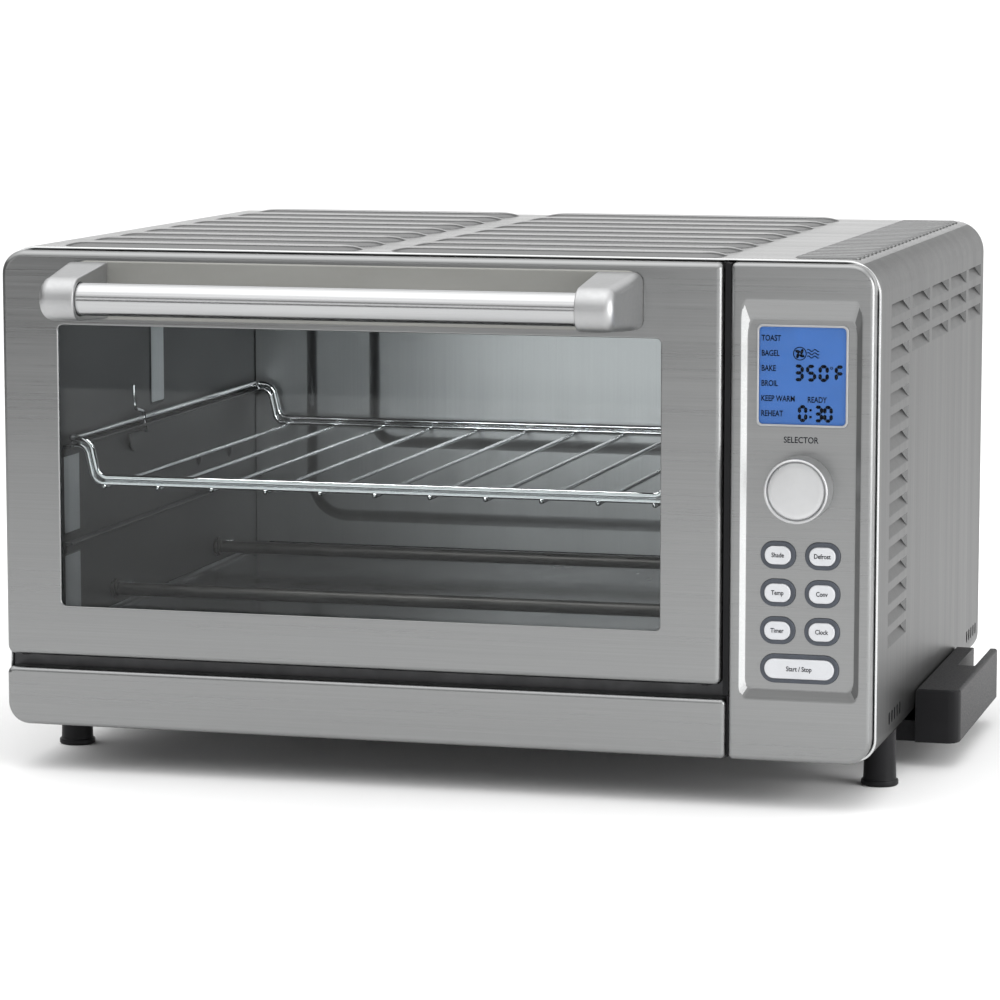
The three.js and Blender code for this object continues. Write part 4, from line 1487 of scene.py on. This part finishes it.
def flag(name, low, high, grey):
    """A dark card out of the camera's sight that shapes the reflections."""
    card = block(name, low, high)
    n = Nodes(name)
    n.cover(n.noise(3, 2), (grey,) * 3, (grey * 1.1,) * 3)
    n.set(Roughness=0.9)
    card.data.materials.append(n.material)
    card.visible_camera = False
    card.visible_shadow = False
    card.visible_diffuse = False


def make_world():
    world = bpy.context.scene.world or bpy.data.worlds.new("studio")
    bpy.context.scene.world = world
    world.use_nodes = True
    tree = world.node_tree
    tree.nodes.clear()
    out = tree.nodes.new("ShaderNodeOutputWorld")
    sky = tree.nodes.new("ShaderNodeBackground")
    place = tree.nodes.new("ShaderNodeTexCoord")
    parts = tree.nodes.new("ShaderNodeSeparateXYZ")
    ramp = tree.nodes.new("ShaderNodeValToRGB")
    steps = ((0.0, 1.25), (0.205, 1.25), (0.245, 0.25), (0.34, 0.25), (0.42, 1.25), (1.0, 1.3))
    elements = ramp.color_ramp.elements
    while len(elements) < len(steps):
        elements.new(0.5)
    for element, (where, value) in zip(elements, steps):
        element.position = where
        element.color = (value, value, value, 1)
    tree.links.new(place.outputs["Generated"], parts.inputs[0])
    tree.links.new(parts.outputs["Z"], ramp.inputs["Fac"])
    tree.links.new(ramp.outputs["Color"], sky.inputs["Color"])
    tree.links.new(sky.outputs[0], out.inputs["Surface"])


def make_camera():
    clear()
    bpy.ops.object.camera_add(location=at(*CAMERA), rotation=[math.radians(a) for a in CAMERA_TURN])
    camera = bpy.context.object
    camera.data.lens = LENS
    camera.data.sensor_width = 36
    camera.data.dof.use_dof = False
    camera.data.clip_end = 1000
    bpy.context.scene.camera = camera


def make_stage():
    make_floor()
    make_world()
    area_light("softbox_top", (250, 100, 2200), (250, 150, 200), 2.6, 14)
    area_light("softbox_right", (2300, -500, 500), (0, -100, 100), 1.4, 30)
    area_light("lamp_in_cavity", (200, 30, 244), (190, 260, 90), 0.26, 0.5, 0.12)
    flag("flag_left", (-1500, -1500, STAND), (-1490, 1700, 700), 0.12)
    flag("flag_front", (-1600, -2010, STAND), (0, -2000, 290), 0.05)
    clear()
    bpy.ops.object.light_add(type="SUN", rotation=(math.radians(18), math.radians(-12), 0))
    sun = bpy.context.object
    sun.data.energy = 0.5
    sun.data.angle = math.radians(70)
    make_camera()
    bpy.context.scene.view_settings.view_transform = "Standard"


# ---- operators and sidebar --------------------------------------------------------------------------


class OVEN_OT_casing(bpy.types.Operator):
    """Wrap-round sheet with its ribs, louvres and hem"""

    bl_idname = "oven.casing"
    bl_label = "Casing"

    def execute(self, context):
        make_casing()
        return {"FINISHED"}


class OVEN_OT_rear(bpy.types.Operator):
    """Rear cover with slots and screws"""

    bl_idname = "oven.rear"
    bl_label = "Rear cover"

    def execute(self, context):
        make_rear()
        return {"FINISHED"}


class OVEN_OT_lower_panel(bpy.types.Operator):
    """Panel below the door and the dark gasket"""

    bl_idname = "oven.lower_panel"
    bl_label = "Lower panel"

    def execute(self, context):
        make_lower_panel()
        return {"FINISHED"}


class OVEN_OT_column(bpy.types.Operator):
    """Skin of the control column with its recess"""

    bl_idname = "oven.column"
    bl_label = "Control column"

    def execute(self, context):
        make_column()
        return {"FINISHED"}


class OVEN_OT_display(bpy.types.Operator):
    """Frame, pane, screen and lit figures"""

    bl_idname = "oven.display"
    bl_label = "Display"

    def execute(self, context):
        make_display()
        return {"FINISHED"}


class OVEN_OT_knob(bpy.types.Operator):
    """Turned selector knob"""

    bl_idname = "oven.knob"
    bl_label = "Knob"

    def execute(self, context):
        make_knob()
        return {"FINISHED"}


class OVEN_OT_keys(bpy.types.Operator):
    """Rings, caps and words of the seven keys"""

    bl_idname = "oven.keys"
    bl_label = "Keys"

    def execute(self, context):
        make_keys()
        return {"FINISHED"}


class OVEN_OT_door(bpy.types.Operator):
    """Door skin, pane and liner"""

    bl_idname = "oven.door"
    bl_label = "Door"

    def execute(self, context):
        make_door()
        return {"FINISHED"}


class OVEN_OT_handle(bpy.types.Operator):
    """Bar, posts and pad"""

    bl_idname = "oven.handle"
    bl_label = "Handle"

    def execute(self, context):
        make_handle()
        return {"FINISHED"}


class OVEN_OT_cavity(bpy.types.Operator):
    """Walls, floor, top and guides"""

    bl_idname = "oven.cavity"
    bl_label = "Cavity"

    def execute(self, context):
        make_cavity()
        return {"FINISHED"}


class OVEN_OT_rack(bpy.types.Operator):
    """Wire rack"""

    bl_idname = "oven.rack"
    bl_label = "Rack"

    def execute(self, context):
        make_rack()
        return {"FINISHED"}


class OVEN_OT_rods(bpy.types.Operator):
    """Four heating rods"""

    bl_idname = "oven.rods"
    bl_label = "Rods"

    def execute(self, context):
        make_rods()
        return {"FINISHED"}


class OVEN_OT_tray(bpy.types.Operator):
    """Crumb tray"""

    bl_idname = "oven.tray"
    bl_label = "Tray"

    def execute(self, context):
        make_tray()
        return {"FINISHED"}


class OVEN_OT_bracket(bpy.types.Operator):
    """Wall spacer"""

    bl_idname = "oven.bracket"
    bl_label = "Bracket"

    def execute(self, context):
        make_bracket()
        return {"FINISHED"}


class OVEN_OT_feet(bpy.types.Operator):
    """Four feet"""

    bl_idname = "oven.feet"
    bl_label = "Feet"

    def execute(self, context):
        make_feet()
        return {"FINISHED"}


class OVEN_OT_inside(bpy.types.Operator):
    """Finishes of the pieces inside"""

    bl_idname = "oven.inside"
    bl_label = "Inside"

    def execute(self, context):
        make_inside()
        return {"FINISHED"}


class OVEN_OT_stage(bpy.types.Operator):
    """Floor, lights, world and camera"""

    bl_idname = "oven.stage"
    bl_label = "Stage"

    def execute(self, context):
        make_stage()
        return {"FINISHED"}


STEPS = [
    OVEN_OT_casing,
    OVEN_OT_rear,
    OVEN_OT_lower_panel,
    OVEN_OT_column,
    OVEN_OT_display,
    OVEN_OT_knob,
    OVEN_OT_keys,
    OVEN_OT_door,
    OVEN_OT_handle,
    OVEN_OT_cavity,
    OVEN_OT_rack,
    OVEN_OT_rods,
    OVEN_OT_tray,
    OVEN_OT_bracket,
    OVEN_OT_feet,
    OVEN_OT_inside,
    OVEN_OT_stage,
]


class VIEW3D_PT_toaster_oven(bpy.types.Panel):
    """Lists the oven's building steps."""

    bl_idname = "VIEW3D_PT_toaster_oven"
    bl_label = "Toaster Oven"
    bl_space_type = "VIEW_3D"
    bl_region_type = "UI"
    bl_category = "Toaster Oven"

    def draw(self, context):
        for kind in STEPS:
            self.layout.operator(kind.bl_idname)


CLASSES = [OvenFinishes, OvenSizes, *STEPS, VIEW3D_PT_toaster_oven]


def register():
    for kind in CLASSES:
        bpy.utils.register_class(kind)
    bpy.types.Scene.oven_finishes = bpy.props.PointerProperty(type=OvenFinishes)
    bpy.types.Scene.oven_sizes = bpy.props.PointerProperty(type=OvenSizes)


def unregister():
    del bpy.types.Scene.oven_sizes
    del bpy.types.Scene.oven_finishes
    for kind in reversed(CLASSES):
        bpy.utils.unregister_class(kind)


def main():
    register()
    for kind in STEPS:
        getattr(bpy.ops.oven, kind.bl_idname.split(".")[1])()


if __name__ == "__main__":
    main()
